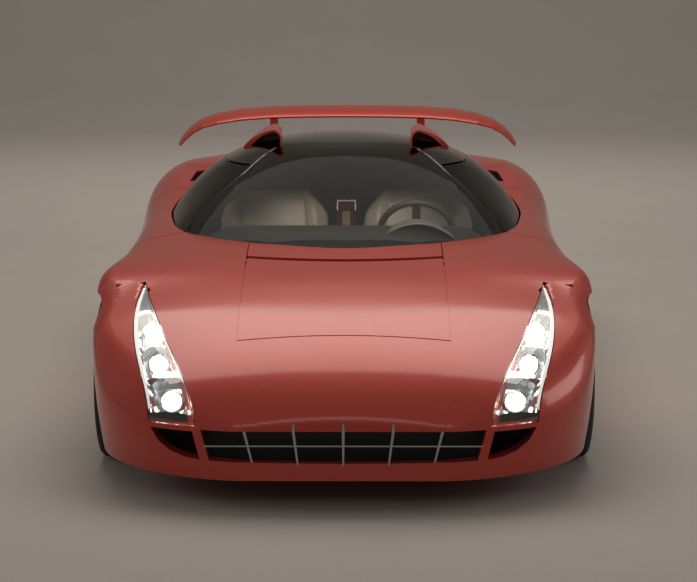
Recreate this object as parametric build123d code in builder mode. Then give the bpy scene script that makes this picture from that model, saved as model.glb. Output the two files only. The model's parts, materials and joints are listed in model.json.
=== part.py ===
"""Mid-engined two-seat supercar, built as separate panels, glass, wheels and running gear.

Millimetres. X is across the car (+X is the driver's side), Y runs back from the nose, Z is up.
The origin is on the ground, midway along and across the car. A `station` is a distance behind the
foremost point, which is how a body drawing names its sections.
"""

from build123d import *

import math
import os

# ---------------------------------------------------------------- driving dimensions
LENGTH = 4400
GROUND_CLEARANCE = 120
ARCH_ROOM = 15  # a wheel opening's height over its tyre
ARCH_CROWN = 520  # radius of its flatter top
ARCH_PLATE = 905  # the outer panel starts this far from the centreline
BAR_PROUD = 5  # the grille bars stand this far ahead of the nose skin

FRONT_AXLE = 930
WHEELBASE = 2570
REAR_AXLE = FRONT_AXLE + WHEELBASE
KINGPIN_X = 820
RIM_SIDEWALL = 92  # tyre radius less rim radius
HUB_BORE = 30
HUB_PLAY = 0.05

SIDE_WALL = 75  # door and flank thickness
TOP_WALL = 30  # bonnet, deck and floor thickness
END_WALL = 40  # nose and tail thickness
FLOOR_TOP = GROUND_CLEARANCE + TOP_WALL
PANEL_GAP = 6
GLASS = 5
FRAME_SET = 14  # the canopy frame lies this far under the outside of the glass
FRAME_DEPTH = 48
FRAME_FOOT = 700  # the canopy frame stands on the tub at this height

DOOR_FRONT = 1700
DOOR_AXIS_X = 930
DOOR_AXIS_STATION = 1735
DOOR_RELIEF = 58
DOOR_BOTTOM = 245
DOOR_HINGES = (350, 600)
HINGE_PIN = 8
HINGE_PLAY = 0.05
SILL_TOP = 240
SILL_INNER = 800
SILL_JOINT = 4
POST_OUTER = (850, DOOR_FRONT)  # front shut line inside the door's edge, as (x, station)
POST_INNER = (700, DOOR_FRONT + 54)
DOOR_INNER = 690
B_INNER = (450, 2838)  # rear shut line, as (x, station)
B_OUTER = (1100, 2986)
FRAME_FRONT = 1175
BEYOND = 1100  # clear of the body on either side
ABOVE = 1300  # clear of the roof

LID_HALF = 396
LID_REAR = 1058  # rear edge on the centreline
LID_BOW = 1110  # radius of the bowed rear edge, in plan
LID_AXIS = (1165, 740)  # station, height
LID_REACH = 839
LID_LUG = (362, 378)  # x range of one lid hinge eye
LID_EYE = 14  # its radius
SLOT_REAR = 34
COWL_HALF = 401

COVER_HALF = 270
COVER_FRONT = 2876
COVER_AXIS = (2895, 1093)
COVER_REACH = 800
COVER_LUG = (70, 86)  # x range of one hinge eye
LUG_RADIUS = 12
LOUVRES = 5
LOUVRE_START = 3090
LOUVRE_PITCH = 105
LOUVRE_SLOT = 25
LOUVRE_RAKE = 120
LOUVRE_HALF = 190

DIFFUSER_START = 3980
DIFFUSER_TOP = 240
DIFFUSER_HALF = 540
STRAKES = (-360, -120, 120, 360)

LAMP_SILL = 310
LAMP_DEEP_END = 640
GRILLE_TOP = 302
GRILLE_BOTTOM = 184

# Wheels. Columns: tyre radius, tyre width, outer face from the centreline, arch radius,
# inner face of the wheel well, axle station.
FRONT_WHEEL = (320, 225, 972, 365, 575, FRONT_AXLE)
REAR_WHEEL = (335, 285, 985, 372, 670, REAR_AXLE)

# Hull sections. Columns: station, half width at the floor, half width at the waist,
# height of the waist, shoulder radius, height on the centreline.
HULL = [
    (BAR_PROUD, 340, 370, 225, 70, 318),
    (30, 490, 515, 235, 110, 385),
    (90, 620, 650, 260, 135, 450),
    (180, 735, 775, 295, 160, 518),
    (320, 845, 885, 340, 170, 588),
    (500, 914, 950, 462, 105, 648),
    (700, 945, 976, 535, 95, 702),
    (950, 962, 990, 618, 85, 748),
    (1300, 960, 994, 630, 110, 795),
    (1750, 935, 970, 600, 170, 828),
    (2400, 930, 962, 620, 180, 860),
    (2950, 950, 985, 630, 215, 905),
    (3450, 960, 1010, 640, 255, 950),
    (3950, 940, 990, 635, 240, 935),
    (LENGTH, 880, 925, 600, 200, 865),
]

# Canopy sections. Columns: station, half width at the waist, shoulder radius, top height.
CANOPY_FLOOR = 450
CANOPY_WAIST = 470
CANOPY = [
    (950, 370, 150, 650),
    (1260, 540, 280, 787),
    (1440, 642, 360, 858),
    (1600, 738, 415, 923),
    (1950, 850, 530, 1050),
    (2300, 878, 642, 1128),
    (2550, 882, 656, 1142),
    (2900, 866, 620, 1115),
    (3300, 820, 530, 1040),
    (3700, 740, 450, 960),
    (4100, 600, 370, 880),
]

# Seam between windscreen and door glass, as (x, station) going up the pillar.
PILLAR_SEAM = [(707, 1755), (633, 1828), (509, 1960), (403, 2158), (321, 2274)]
HEADER_CORNER = (272, 2316)
HEADER_MIDDLE = 2258
GLASS_TOP = 1035
GLASS_INNER = 330
GLASS_EDGE = 8

# Headlamp plan outline, as (x, station).
LAMP_FOOT_INNER = (534, 46)
LAMP_MID_INNER = (672, 430)
LAMP_TIP = (787, 915)
LAMP_MID_OUTER = (803, 525)
LAMP_FOOT_OUTER = (712, 128)
# Lamp units. Columns: x, station, height, radius.
PROJECTORS = [(638, 168, 362, 34), (690, 312, 464, 34), (735, 560, 556, 30)]

# Grille bars. Columns: x at the top, x at the foot, distance set back.
BARS = [(0, 0, 0), (180, 164, 0), (358, 328, 8)]


def back(station):
    """Y of a station."""
    return station - LENGTH / 2


# ---------------------------------------------------------------- simple solids
def blocks(table):
    """Boxes fused together. Columns: x from, to, station from, to, height from, to."""
    with BuildPart() as made:
        for x0, x1, s0, s1, z0, z1 in table:
            with Locations(((x0 + x1) / 2, back((s0 + s1) / 2), (z0 + z1) / 2)):
                Box(x1 - x0, s1 - s0, z1 - z0)
    return made.part


def rod(axis, radius, start, end, first, second):
    """A cylinder along X (first=station, second=height), Y (x, height) or Z (x, station)."""
    turn = {"X": (0, 90, 0), "Y": (90, 0, 0), "Z": (0, 0, 0)}[axis]
    middle = (start + end) / 2
    centre = {
        "X": (middle, back(first), second),
        "Y": (first, back(middle), second),
        "Z": (first, back(second), middle),
    }[axis]
    with BuildPart() as made:
        with Locations(centre):
            Cylinder(radius, end - start, rotation=turn)
    return made.part


def plan_prism(points, low, high):
    """A prism over a plan outline of (x, station) points."""
    with BuildPart() as made:
        with BuildSketch(Plane.XY.offset(low)):
            with BuildLine():
                Polyline([(x, back(station)) for x, station in points], close=True)
            make_face()
        extrude(amount=high - low)
    return made.part


def front_prism(points, start, end):
    """A prism along the car over a front-view outline of (x, height) points."""
    with BuildPart() as made:
        with BuildSketch(Plane.XZ.offset(-back(start))):
            with BuildLine():
                Polyline(points, close=True)
            make_face()
        extrude(amount=start - end)
    return made.part


def side_prism(points, x_start, x_end):
    """A prism across the car over a side-view outline of (station, height) points."""
    with BuildPart() as made:
        with BuildSketch(Plane.YZ.offset(x_start)):
            with BuildLine():
                Polyline([(back(station), height) for station, height in points], close=True)
            make_face()
        extrude(amount=x_end - x_start)
    return made.part


def fused(*pieces):
    """Pieces joined into one."""
    with BuildPart() as made:
        for piece in pieces:
            add(piece)
    return made.part


def common(first, second):
    """The space two pieces share."""
    with BuildPart() as made:
        add(first)
        add(second, mode=Mode.INTERSECT)
    return made.part


def cut(piece, *tools):
    """A piece less each tool."""
    with BuildPart() as made:
        add(piece)
        for tool in tools:
            add(tool, mode=Mode.SUBTRACT)
    return made.part


def mirrored(piece):
    """The same piece on the other side of the car."""
    with BuildPart() as made:
        mirror(piece, about=Plane.YZ)
    return made.part


def both_sides(piece):
    """A piece together with its mirror image."""
    return fused(piece, mirrored(piece))


def both_ways(points):
    """An outline of half the car closed with its mirror image."""
    return points + [(-x, other) for x, other in reversed(points) if x]


# ---------------------------------------------------------------- lofted masters
def arch_section(y, floor_half, floor_z, waist_half, waist_z, shoulder, top_z):
    """One closed cross-section: flat floor, rocker arc, shoulder arc and crown arc, each tangent."""
    rise = top_z - waist_z
    centre_x = waist_half - shoulder
    crown = (centre_x**2 + rise**2 - shoulder**2) / (2 * (rise - shoulder))
    toward_x, toward_z = centre_x, waist_z - (top_z - crown)
    reach = math.hypot(toward_x, toward_z)
    join = (centre_x + shoulder * toward_x / reach, waist_z + shoulder * toward_z / reach)
    half_turn = math.atan2(toward_z, toward_x) / 2
    mid = (centre_x + shoulder * math.cos(half_turn), waist_z + shoulder * math.sin(half_turn))
    tuck, drop = waist_half - floor_half, waist_z - floor_z
    rocker = (tuck**2 + drop**2) / (2 * tuck)
    lean = math.asin(drop / rocker) / 2
    low = (waist_half - rocker + rocker * math.cos(lean), waist_z - rocker * math.sin(lean))
    with BuildSketch(Plane.XZ.offset(-y)) as outline:
        with BuildLine():
            Line((-floor_half, floor_z), (floor_half, floor_z))
            ThreePointArc((floor_half, floor_z), low, (waist_half, waist_z))
            ThreePointArc((waist_half, waist_z), mid, join)
            ThreePointArc(join, (0, top_z), (-join[0], join[1]))
            ThreePointArc((-join[0], join[1]), (-mid[0], mid[1]), (-waist_half, waist_z))
            ThreePointArc((-waist_half, waist_z), (-low[0], low[1]), (-floor_half, floor_z))
        make_face()
    return outline.sketch


def hull_body(side=0, top=0, end=0, floor=0):
    """The lower body with its walls moved in by side, top, end and floor."""
    stretch = (LENGTH - BAR_PROUD - 2 * end) / (LENGTH - BAR_PROUD)
    sections = [
        arch_section(
            back(BAR_PROUD + end + (station - BAR_PROUD) * stretch),
            floor_half - side,
            GROUND_CLEARANCE + floor,
            waist_half - side,
            waist_z,
            shoulder - side + (side - top) * 2 / 3,
            top_z - top,
        )
        for station, floor_half, waist_half, waist_z, shoulder, top_z in HULL
    ]
    with BuildPart() as body:
        loft(sections)
    return body.part


def canopy_body(inset=0):
    """The glasshouse dome with its surface moved in by inset (out, where negative)."""
    sections = [
        arch_section(
            back(station),
            waist_half - 15 - inset,
            CANOPY_FLOOR,
            waist_half - inset,
            CANOPY_WAIST,
            shoulder - inset,
            top_z - inset,
        )
        for station, waist_half, shoulder, top_z in CANOPY
    ]
    with BuildPart() as body:
        loft(sections)
    return body.part


hull = hull_body()
hull_core = hull_body(SIDE_WALL, TOP_WALL, END_WALL, TOP_WALL)
hull_lens = hull_body(GLASS, GLASS, GLASS)
hull_seat = hull_body(9, 9, 9)
hull_bowl = hull_body(24, 24, 24)
canopy = canopy_body()
canopy_clear = canopy_body(-PANEL_GAP)
canopy_inside = canopy_body(GLASS)
canopy_frame_skin = canopy_body(FRAME_SET)
canopy_core = canopy_body(FRAME_DEPTH)

hull_shell = cut(hull, hull_core)
body_skin = cut(hull_shell, canopy_clear)
glass_shell = cut(canopy, canopy_inside)
glass_seat = cut(canopy_clear, canopy_frame_skin)

# ---------------------------------------------------------------- zones between shut lines
B_SLOPE = (B_OUTER[1] - B_INNER[1]) / (B_OUTER[0] - B_INNER[0])


def rear_shut(x, gap=0):
    """Station of the rear shut line at x, a gap ahead of it."""
    ahead = gap * math.hypot(1, B_SLOPE)
    return B_INNER[1] + max(0, x - B_INNER[0]) * B_SLOPE - ahead


front_zone = plan_prism(
    both_ways([(BEYOND, -60), (BEYOND, DOOR_FRONT), POST_OUTER, POST_INNER]), 0, ABOVE
)
rear_zone = plan_prism(
    both_ways([(BEYOND, LENGTH + 60), (BEYOND, rear_shut(BEYOND)), (B_INNER[0], rear_shut(B_INNER[0]))]),
    0,
    ABOVE,
)
door_zone = plan_prism(
    [
        (POST_OUTER[0] + 2, DOOR_FRONT + PANEL_GAP),
        (BEYOND, DOOR_FRONT + PANEL_GAP),
        (BEYOND, rear_shut(BEYOND, PANEL_GAP)),
        (DOOR_INNER, rear_shut(DOOR_INNER, PANEL_GAP)),
        (DOOR_INNER, POST_INNER[1] + 11),
    ],
    DOOR_BOTTOM,
    1000,
)
sill_zone = plan_prism(
    [
        (SILL_INNER, DOOR_FRONT + 24),
        (POST_OUTER[0] + 2, DOOR_FRONT + PANEL_GAP),
        (BEYOND, DOOR_FRONT + PANEL_GAP),
        (BEYOND, rear_shut(BEYOND, SILL_JOINT)),
        (SILL_INNER, rear_shut(SILL_INNER, SILL_JOINT)),
    ],
    0,
    SILL_TOP,
)
frame_zone = plan_prism(
    both_ways(
        [
            (BEYOND, FRAME_FRONT),
            (BEYOND, rear_shut(BEYOND, SILL_JOINT)),
            (B_INNER[0], rear_shut(B_INNER[0], SILL_JOINT)),
        ]
    ),
    FRAME_FOOT,
    ABOVE,
)


# ---------------------------------------------------------------- wheel wells
def well(wheel):
    """The space cut out around a pair of wheels."""
    tyre_radius, _, _, arch, inner, axle = wheel
    crown_foot = 2 * tyre_radius + ARCH_ROOM - ARCH_CROWN
    inside = rod("X", arch, inner, ARCH_PLATE, axle, tyre_radius)
    opening = rod("X", arch, ARCH_PLATE - 1, BEYOND, axle, tyre_radius)
    crown = rod("X", ARCH_CROWN, ARCH_PLATE - 1, BEYOND, axle, crown_foot)
    return both_sides(fused(inside, common(opening, crown)))


def well_liner(wheel, reach):
    """The pressed wheelhouse around a pair of wheels, before the well is cut from it."""
    tyre_radius, _, _, arch, inner, axle = wheel
    drum = rod("X", arch + 10, inner - 10, reach, axle, tyre_radius)
    above = blocks([(0, BEYOND, axle - 500, axle + 500, GROUND_CLEARANCE, 900)])
    return both_sides(common(drum, above))


# ---------------------------------------------------------------- front panels
def lid_prism(half, rear_shift):
    """Plan outline of the luggage lid: straight sides and a bowed rear edge."""
    middle = back(LID_REAR + rear_shift)
    corner = middle + LID_BOW - math.sqrt(LID_BOW**2 - half**2)
    with BuildPart() as made:
        with BuildSketch(Plane.XY.offset(400)):
            with BuildLine():
                Polyline((-half, corner), (-half, back(200)), (half, back(200)), (half, corner))
                ThreePointArc((half, corner), (0, middle), (-half, corner))
            make_face()
        extrude(amount=600)
    return made.part


def lamp_prism(inset, low, rear=LAMP_TIP[1] + 50):
    """Plan outline of a headlamp, drawn in by inset all round, cut off at the station rear."""
    with BuildPart() as made:
        with BuildSketch(Plane.XY.offset(low)):
            with BuildLine():
                ThreePointArc(
                    *[(x, back(s)) for x, s in (LAMP_FOOT_INNER, LAMP_MID_INNER, LAMP_TIP)]
                )
                ThreePointArc(*[(x, back(s)) for x, s in (LAMP_TIP, LAMP_MID_OUTER, LAMP_FOOT_OUTER)])
                Polyline(
                    (LAMP_FOOT_OUTER[0], back(LAMP_FOOT_OUTER[1])),
                    (LAMP_FOOT_OUTER[0] - 40, back(-50)),
                    (LAMP_FOOT_INNER[0] - 34, back(-50)),
                    (LAMP_FOOT_INNER[0], back(LAMP_FOOT_INNER[1])),
                )
            make_face()
            if inset:
                offset(amount=-inset, kind=Kind.INTERSECTION)
        extrude(amount=1000 - low)
        if rear < LAMP_TIP[1]:
            with Locations((700, back(rear + 250), 700)):
                Box(600, 500, 1000, mode=Mode.SUBTRACT)
    return made.part


def grille_bar(top_x, foot_x, set_back):
    """One upright blade of the grille, slim at both tips."""
    return front_prism(
        [
            (foot_x - 3, 178),
            (foot_x + 3, 178),
            (top_x + 5, 300),
            (top_x + 3, 330),
            (top_x - 3, 330),
            (top_x - 5, 300),
        ],
        set_back,
        set_back + 16,
    )


grille_opening = front_prism(
    both_ways([(0, GRILLE_BOTTOM), (250, 186), (486, 192), (518, GRILLE_TOP)]), -20, 130
)
side_intake = front_prism([(548, 294), (521, 192), (575, 198), (631, 216), (677, 248), (706, 294)], -20, 300)
upright_bars = fused(*[grille_bar(*bar) for bar in BARS])
upright_bars = both_sides(upright_bars)

lid_swing = rod("X", LID_REACH, -LID_HALF - 20, LID_HALF + 20, *LID_AXIS)
lid_room = rod("X", LID_REACH + PANEL_GAP, -LID_HALF - 20, LID_HALF + 20, *LID_AXIS)
lid_opening = common(lid_prism(COWL_HALF, SLOT_REAR), lid_room)
cowl_space = blocks([(-COWL_HALF, COWL_HALF, 1085, 1500, 600, 900)])


def lid_bracket():
    """Body half of one lid hinge."""
    station, height = LID_AXIS
    near = LID_LUG[1] + PANEL_GAP
    eye = rod("X", LID_EYE, near, COWL_HALF + 10, station, height)
    arm = blocks([(COWL_HALF + 1, COWL_HALF + 19, station - 16, station + 16, height - 16, height + 10)])
    bore = rod("X", HINGE_PIN + HINGE_PLAY, near - 4, COWL_HALF, station, height)
    return cut(fused(eye, arm), bore)


def lid_hinge_room():
    """Room under the cowl panel around one lid hinge."""
    station, height = LID_AXIS
    return blocks([(LID_LUG[0] - 8, COWL_HALF, station - 60, station + 22, height - 100, height + 20)])


with BuildPart() as front_clip:
    add(body_skin)
    add(front_zone, mode=Mode.INTERSECT)
    add(well_liner(FRONT_WHEEL, 905))
    add(both_sides(common(lamp_prism(0, LAMP_SILL), cut(hull, hull_seat))), mode=Mode.SUBTRACT)
    add(both_sides(lamp_prism(0, LAMP_SILL, LAMP_DEEP_END)), mode=Mode.SUBTRACT)
    add(lid_opening, mode=Mode.SUBTRACT)
    add(cowl_space, mode=Mode.SUBTRACT)
    add(well(FRONT_WHEEL), mode=Mode.SUBTRACT)
    add(grille_opening, mode=Mode.SUBTRACT)
    add(both_sides(side_intake), mode=Mode.SUBTRACT)
    add(both_sides(rod("Z", DOOR_RELIEF, 0, 760, DOOR_AXIS_X, DOOR_AXIS_STATION)), mode=Mode.SUBTRACT)
    add(upright_bars, mode=Mode.SUBTRACT)
    add(both_sides(lid_bracket()))
front_clip.part.label = "front_clip"


def lid_lug():
    """Lid half of one hinge, with its pin."""
    station, height = LID_AXIS
    arm = blocks([(*LID_LUG, station - 70, station + 2, height - 18, height - 2)])
    eye = rod("X", LID_EYE, *LID_LUG, station, height)
    pin = rod("X", HINGE_PIN, LID_LUG[0], COWL_HALF - 1, station, height)
    return fused(arm, eye, pin)


with BuildPart() as front_lid:
    add(hull_shell)
    add(lid_prism(LID_HALF, 0), mode=Mode.INTERSECT)
    add(lid_swing, mode=Mode.INTERSECT)
    add(both_sides(lid_lug()))
front_lid.part.label = "front_lid"

with BuildPart() as cowl_panel:
    add(body_skin)
    add(blocks([(-COWL_HALF + 4, COWL_HALF - 4, 1085, 1496, 600, 900)]), mode=Mode.INTERSECT)
    add(lid_prism(COWL_HALF + 20, SLOT_REAR), mode=Mode.SUBTRACT)
    add(both_sides(lid_hinge_room()), mode=Mode.SUBTRACT)
    add(both_sides(blocks([(60, 110, 1108, 1138, FRAME_FOOT, 760)])))
cowl_panel.part.label = "cowl_panel"

with BuildPart() as grille_bars:
    add(upright_bars)
    add(blocks([(-505, 505, 9, 14, 245, 250)]))
grille_bars.part.label = "grille_bars"

with BuildPart() as nose_duct:
    add(
        blocks(
            [
                (-520, 520, 150, 156, FLOOR_TOP, 330),
                (530, 700, 300, 306, FLOOR_TOP, 330),
                (-700, -530, 300, 306, FLOOR_TOP, 330),
                (-720, 720, 290, 306, FLOOR_TOP, FLOOR_TOP + 10),
                (-30, 30, 150, 306, FLOOR_TOP, FLOOR_TOP + 10),
            ]
        )
    )
nose_duct.part.label = "nose_duct"


def lamp_bowl():
    """Reflector plate of a headlamp with its three lamp units."""
    plate = common(cut(hull_bowl, hull_core), lamp_prism(3, LAMP_SILL + 3, LAMP_DEEP_END - 4))
    with BuildPart() as made:
        add(plate)
        for x, station, height, radius in PROJECTORS:
            with Locations((x, back(station), height)):
                Sphere(radius)
    return made.part


def lamp_lens():
    """Clear cover of a headlamp, flush with the skin."""
    return common(cut(hull, hull_lens), lamp_prism(3, LAMP_SILL + 3))


with BuildPart() as headlamp_left:
    add(lamp_bowl())
headlamp_left.part.label = "headlamp_left"
with BuildPart() as headlamp_right:
    mirror(headlamp_left.part, about=Plane.YZ)
headlamp_right.part.label = "headlamp_right"
with BuildPart() as lamp_lens_left:
    add(lamp_lens())
lamp_lens_left.part.label = "lamp_lens_left"
with BuildPart() as lamp_lens_right:
    mirror(lamp_lens_left.part, about=Plane.YZ)
lamp_lens_right.part.label = "lamp_lens_right"

# ---------------------------------------------------------------- tub
# Tub blocks. Columns: x from, to, station from, to, height from, to.
PAN_TOP = 180
BEAM_FOOT = 640
TUB = [
    (-790, 790, 1762, 2826, GROUND_CLEARANCE, FLOOR_TOP),
    (-SILL_INNER, SILL_INNER, 1300, 2960, FLOOR_TOP, PAN_TOP),
    (-560, 560, 1200, 1310, FLOOR_TOP, PAN_TOP),
    (-560, 560, 1200, 1240, PAN_TOP - 10, BEAM_FOOT + 10),
    (-560, 560, FRAME_FRONT, 1340, BEAM_FOOT, FRAME_FOOT),
    (-140, 140, 1100, FRAME_FRONT + 5, BEAM_FOOT + 20, FRAME_FOOT),
    (-776, 776, 1330, 1560, BEAM_FOOT, FRAME_FOOT),
    (-SILL_INNER, SILL_INNER, 2850, 2890, PAN_TOP - 10, FRAME_FOOT),
]
TUB_SIDE = [
    (720, SILL_INNER, 1300, 2890, PAN_TOP - 10, SILL_TOP),
    (DOOR_INNER, 776, 1550, 1750, PAN_TOP - 10, FRAME_FOOT),
    (770, 840, 1640, 1750, SILL_TOP + 6, 665),
    (770, SILL_INNER, 1640, 1750, PAN_TOP, 665),
    (790, 840, 2850, 2890, SILL_TOP + 6, 665),
]


def hinge_arm(height):
    """Body half of one door hinge: an arm from the front post out to an eye."""
    arm = blocks([(830, DOOR_AXIS_X, 1723, 1747, height - 15, height + 15)])
    eye = rod("Z", 15, height - 15, height + 15, DOOR_AXIS_X, DOOR_AXIS_STATION)
    bore = rod("Z", HINGE_PIN + HINGE_PLAY, height - 20, height + 20, DOOR_AXIS_X, DOOR_AXIS_STATION)
    return cut(fused(arm, eye), bore)


with BuildPart() as cabin_tub:
    add(blocks(TUB))
    add(both_sides(blocks(TUB_SIDE)))
    add(
        front_prism(
            both_ways([(755, 690), (755, 700), (700, 800), (612, 900), (455, 1000), (320, 1035)]), 2850, 2890
        )
    )
    for hinge_height in DOOR_HINGES:
        add(both_sides(hinge_arm(hinge_height)))
cabin_tub.part.label = "cabin_tub"

# ---------------------------------------------------------------- canopy
screen_zone = plan_prism(
    both_ways(
        [(760, 1000), (760, 1700)]
        + [(x - 2, station - 2) for x, station in PILLAR_SEAM]
        + [(HEADER_CORNER[0], HEADER_CORNER[1] - 2), (0, HEADER_MIDDLE)]
    ),
    600,
    ABOVE,
)
side_glass_zone = plan_prism(
    [(BEYOND, DOOR_FRONT + PANEL_GAP), (763, DOOR_FRONT + PANEL_GAP)]
    + [(x + 3, station + 3) for x, station in PILLAR_SEAM[:4]]
    + [(GLASS_INNER, 2290)]
    + [(x, rear_shut(x, GLASS_EDGE)) for x in (GLASS_INNER, B_INNER[0], BEYOND)],
    600,
    GLASS_TOP,
)
side_rebate_zone = plan_prism(
    [(BEYOND, DOOR_FRONT), (760, DOOR_FRONT)]
    + [(x, station) for x, station in PILLAR_SEAM[:4]]
    + [(GLASS_INNER - 4, 2280), (GLASS_INNER - 4, 2850)]
    + [(B_INNER[0], 2850), (BEYOND, rear_shut(BEYOND) + 12)],
    600,
    GLASS_TOP + PANEL_GAP,
)
screen_aperture = plan_prism(
    both_ways(
        [
            (0, 1345),
            (300, 1380),
            (480, 1480),
            (590, 1620),
            (640, 1755),
            (575, 1800),
            (462, 1925),
            (355, 2120),
            (290, 2215),
            (240, 2262),
            (0, 2205),
        ]
    ),
    600,
    ABOVE,
)
side_aperture = plan_prism(
    [
        (BEYOND, 1835),
        (760, 1835),
        (672, 1885),
        (560, 1995),
        (B_INNER[0], 2190),
        (B_INNER[0], B_INNER[1] - 58),
        (BEYOND, B_OUTER[1] - 58),
    ],
    800,
    990,
)

with BuildPart() as canopy_frame:
    add(cut(canopy, canopy_core))
    add(frame_zone, mode=Mode.INTERSECT)
    add(common(glass_seat, fused(screen_zone, both_sides(side_rebate_zone))), mode=Mode.SUBTRACT)
    add(screen_aperture, mode=Mode.SUBTRACT)
    add(both_sides(side_aperture), mode=Mode.SUBTRACT)
canopy_frame.part.label = "canopy_frame"

with BuildPart() as windscreen:
    add(glass_shell)
    add(screen_zone, mode=Mode.INTERSECT)
    add(hull_core, mode=Mode.SUBTRACT)
windscreen.part.label = "windscreen"

with BuildPart() as door_glass_left:
    add(glass_shell)
    add(side_glass_zone, mode=Mode.INTERSECT)
    add(hull_core, mode=Mode.SUBTRACT)
door_glass_left.part.label = "door_glass_left"
with BuildPart() as door_glass_right:
    mirror(door_glass_left.part, about=Plane.YZ)
door_glass_right.part.label = "door_glass_right"


# ---------------------------------------------------------------- doors and sills
def hinge_pocket(height):
    """Room in the door around one hinge arm."""
    return blocks([(840, 953, 1680, 1757, height - 22, height + 22)])


with BuildPart() as door_left:
    add(body_skin)
    add(door_zone, mode=Mode.INTERSECT)
    for hinge_height in DOOR_HINGES:
        add(hinge_pocket(hinge_height), mode=Mode.SUBTRACT)
        add(
            rod(
                "Z", HINGE_PIN, hinge_height - 24, hinge_height + 24, DOOR_AXIS_X, DOOR_AXIS_STATION
            )
        )
door_left.part.label = "door_left"
with BuildPart() as door_right:
    mirror(door_left.part, about=Plane.YZ)
door_right.part.label = "door_right"

with BuildPart() as sill_left:
    add(hull)
    add(sill_zone, mode=Mode.INTERSECT)
    add(blocks([(850, 900, 1790, 1830, 112, 125), (850, 900, 2780, 2820, 112, 125)]))
sill_left.part.label = "sill_left"
with BuildPart() as sill_right:
    mirror(sill_left.part, about=Plane.YZ)
sill_right.part.label = "sill_right"

# ---------------------------------------------------------------- rear panels
cover_swing = rod("X", COVER_REACH, -COVER_HALF - 20, COVER_HALF + 20, *COVER_AXIS)
cover_room = rod("X", COVER_REACH + PANEL_GAP, -COVER_HALF - 20, COVER_HALF + 20, *COVER_AXIS)
cover_relief = rod("X", 36, -COVER_HALF - PANEL_GAP, COVER_HALF + PANEL_GAP, *COVER_AXIS)
rear_shell = cut(fused(hull, canopy), hull_core, canopy_core)

haunch_slot = plan_prism([(590, 3010), (765, 3035), (745, 3255), (600, 3262)], 780, 1000)
drive_hole = rod("X", 30, 600, 700, REAR_AXLE, REAR_WHEEL[0])
tail_recess = blocks([(-780, 780, LENGTH - 30, LENGTH + 20, 600, 730)])
tail_vent = blocks([(-420, 420, LENGTH - 60, LENGTH + 20, 330, 470)])
pylon_pad = blocks([(355, 411, 3790, 4060, 900, 950)])


def cover_bracket():
    """Body half of one cover hinge: a bracket under the roof's rear edge, rising to an eye."""
    station, height = COVER_AXIS
    inner, outer = COVER_LUG
    foot = [(inner, outer, 2846, station + 8, height - 54, height - 38)]
    riser = [(inner, outer, station - 8, station + 8, height - 45, height)]
    hanger = [(inner, outer, 2846, 2862, height - 45, height - 15)]
    eye = rod("X", LUG_RADIUS, inner, outer, station, height)
    bore = rod("X", HINGE_PIN + HINGE_PLAY, inner - 1, outer + 1, station, height)
    return cut(fused(blocks(foot + riser + hanger), eye), bore)


def cover_notch():
    """Room in the underside of the cover for one bracket."""
    station, height = COVER_AXIS
    inner, outer = COVER_LUG
    return blocks([(inner - 10, outer + 10, station - 60, station + 18, height - 80, height + 15)])


def diffuser():
    """Upswept floor under the tail, with its upright strakes."""
    ramp = side_prism(
        [
            (DIFFUSER_START, GROUND_CLEARANCE),
            (LENGTH - END_WALL, DIFFUSER_TOP),
            (LENGTH - END_WALL + 10, DIFFUSER_TOP),
            (LENGTH - END_WALL + 10, DIFFUSER_TOP + 12),
            (DIFFUSER_START, GROUND_CLEARANCE + 12),
        ],
        -DIFFUSER_HALF,
        DIFFUSER_HALF,
    )
    strakes = [
        side_prism(
            [
                (DIFFUSER_START + 60, GROUND_CLEARANCE + 4),
                (LENGTH - 50, GROUND_CLEARANCE + 4),
                (LENGTH - 20, DIFFUSER_TOP - 20),
                (LENGTH - 20, DIFFUSER_TOP + 4),
                (LENGTH - END_WALL, DIFFUSER_TOP + 6),
                (DIFFUSER_START + 40, GROUND_CLEARANCE + 20),
            ],
            x - 4,
            x + 4,
        )
        for x in STRAKES
    ]
    return fused(ramp, *strakes)


cover_gap_zone = blocks(
    [(-COVER_HALF - PANEL_GAP, COVER_HALF + PANEL_GAP, COVER_FRONT - 6, 3800, 700, ABOVE)]
)
diffuser_room = side_prism(
    [
        (DIFFUSER_START, GROUND_CLEARANCE - 10),
        (LENGTH + 20, GROUND_CLEARANCE - 10),
        (LENGTH + 20, DIFFUSER_TOP),
        (LENGTH - END_WALL, DIFFUSER_TOP),
        (DIFFUSER_START, GROUND_CLEARANCE),
    ],
    -DIFFUSER_HALF,
    DIFFUSER_HALF,
)

with BuildPart() as rear_clip:
    add(rear_shell)
    add(rear_zone, mode=Mode.INTERSECT)
    add(common(cover_gap_zone, cover_room), mode=Mode.SUBTRACT)
    add(cover_relief, mode=Mode.SUBTRACT)
    add(well_liner(REAR_WHEEL, 930))
    add(well(REAR_WHEEL), mode=Mode.SUBTRACT)
    add(both_sides(drive_hole), mode=Mode.SUBTRACT)
    add(both_sides(haunch_slot), mode=Mode.SUBTRACT)
    add(tail_recess, mode=Mode.SUBTRACT)
    add(tail_vent, mode=Mode.SUBTRACT)
    add(diffuser_room, mode=Mode.SUBTRACT)
    add(diffuser())
    add(both_sides(pylon_pad))
    add(both_sides(cover_bracket()))
rear_clip.part.label = "rear_clip"

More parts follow.
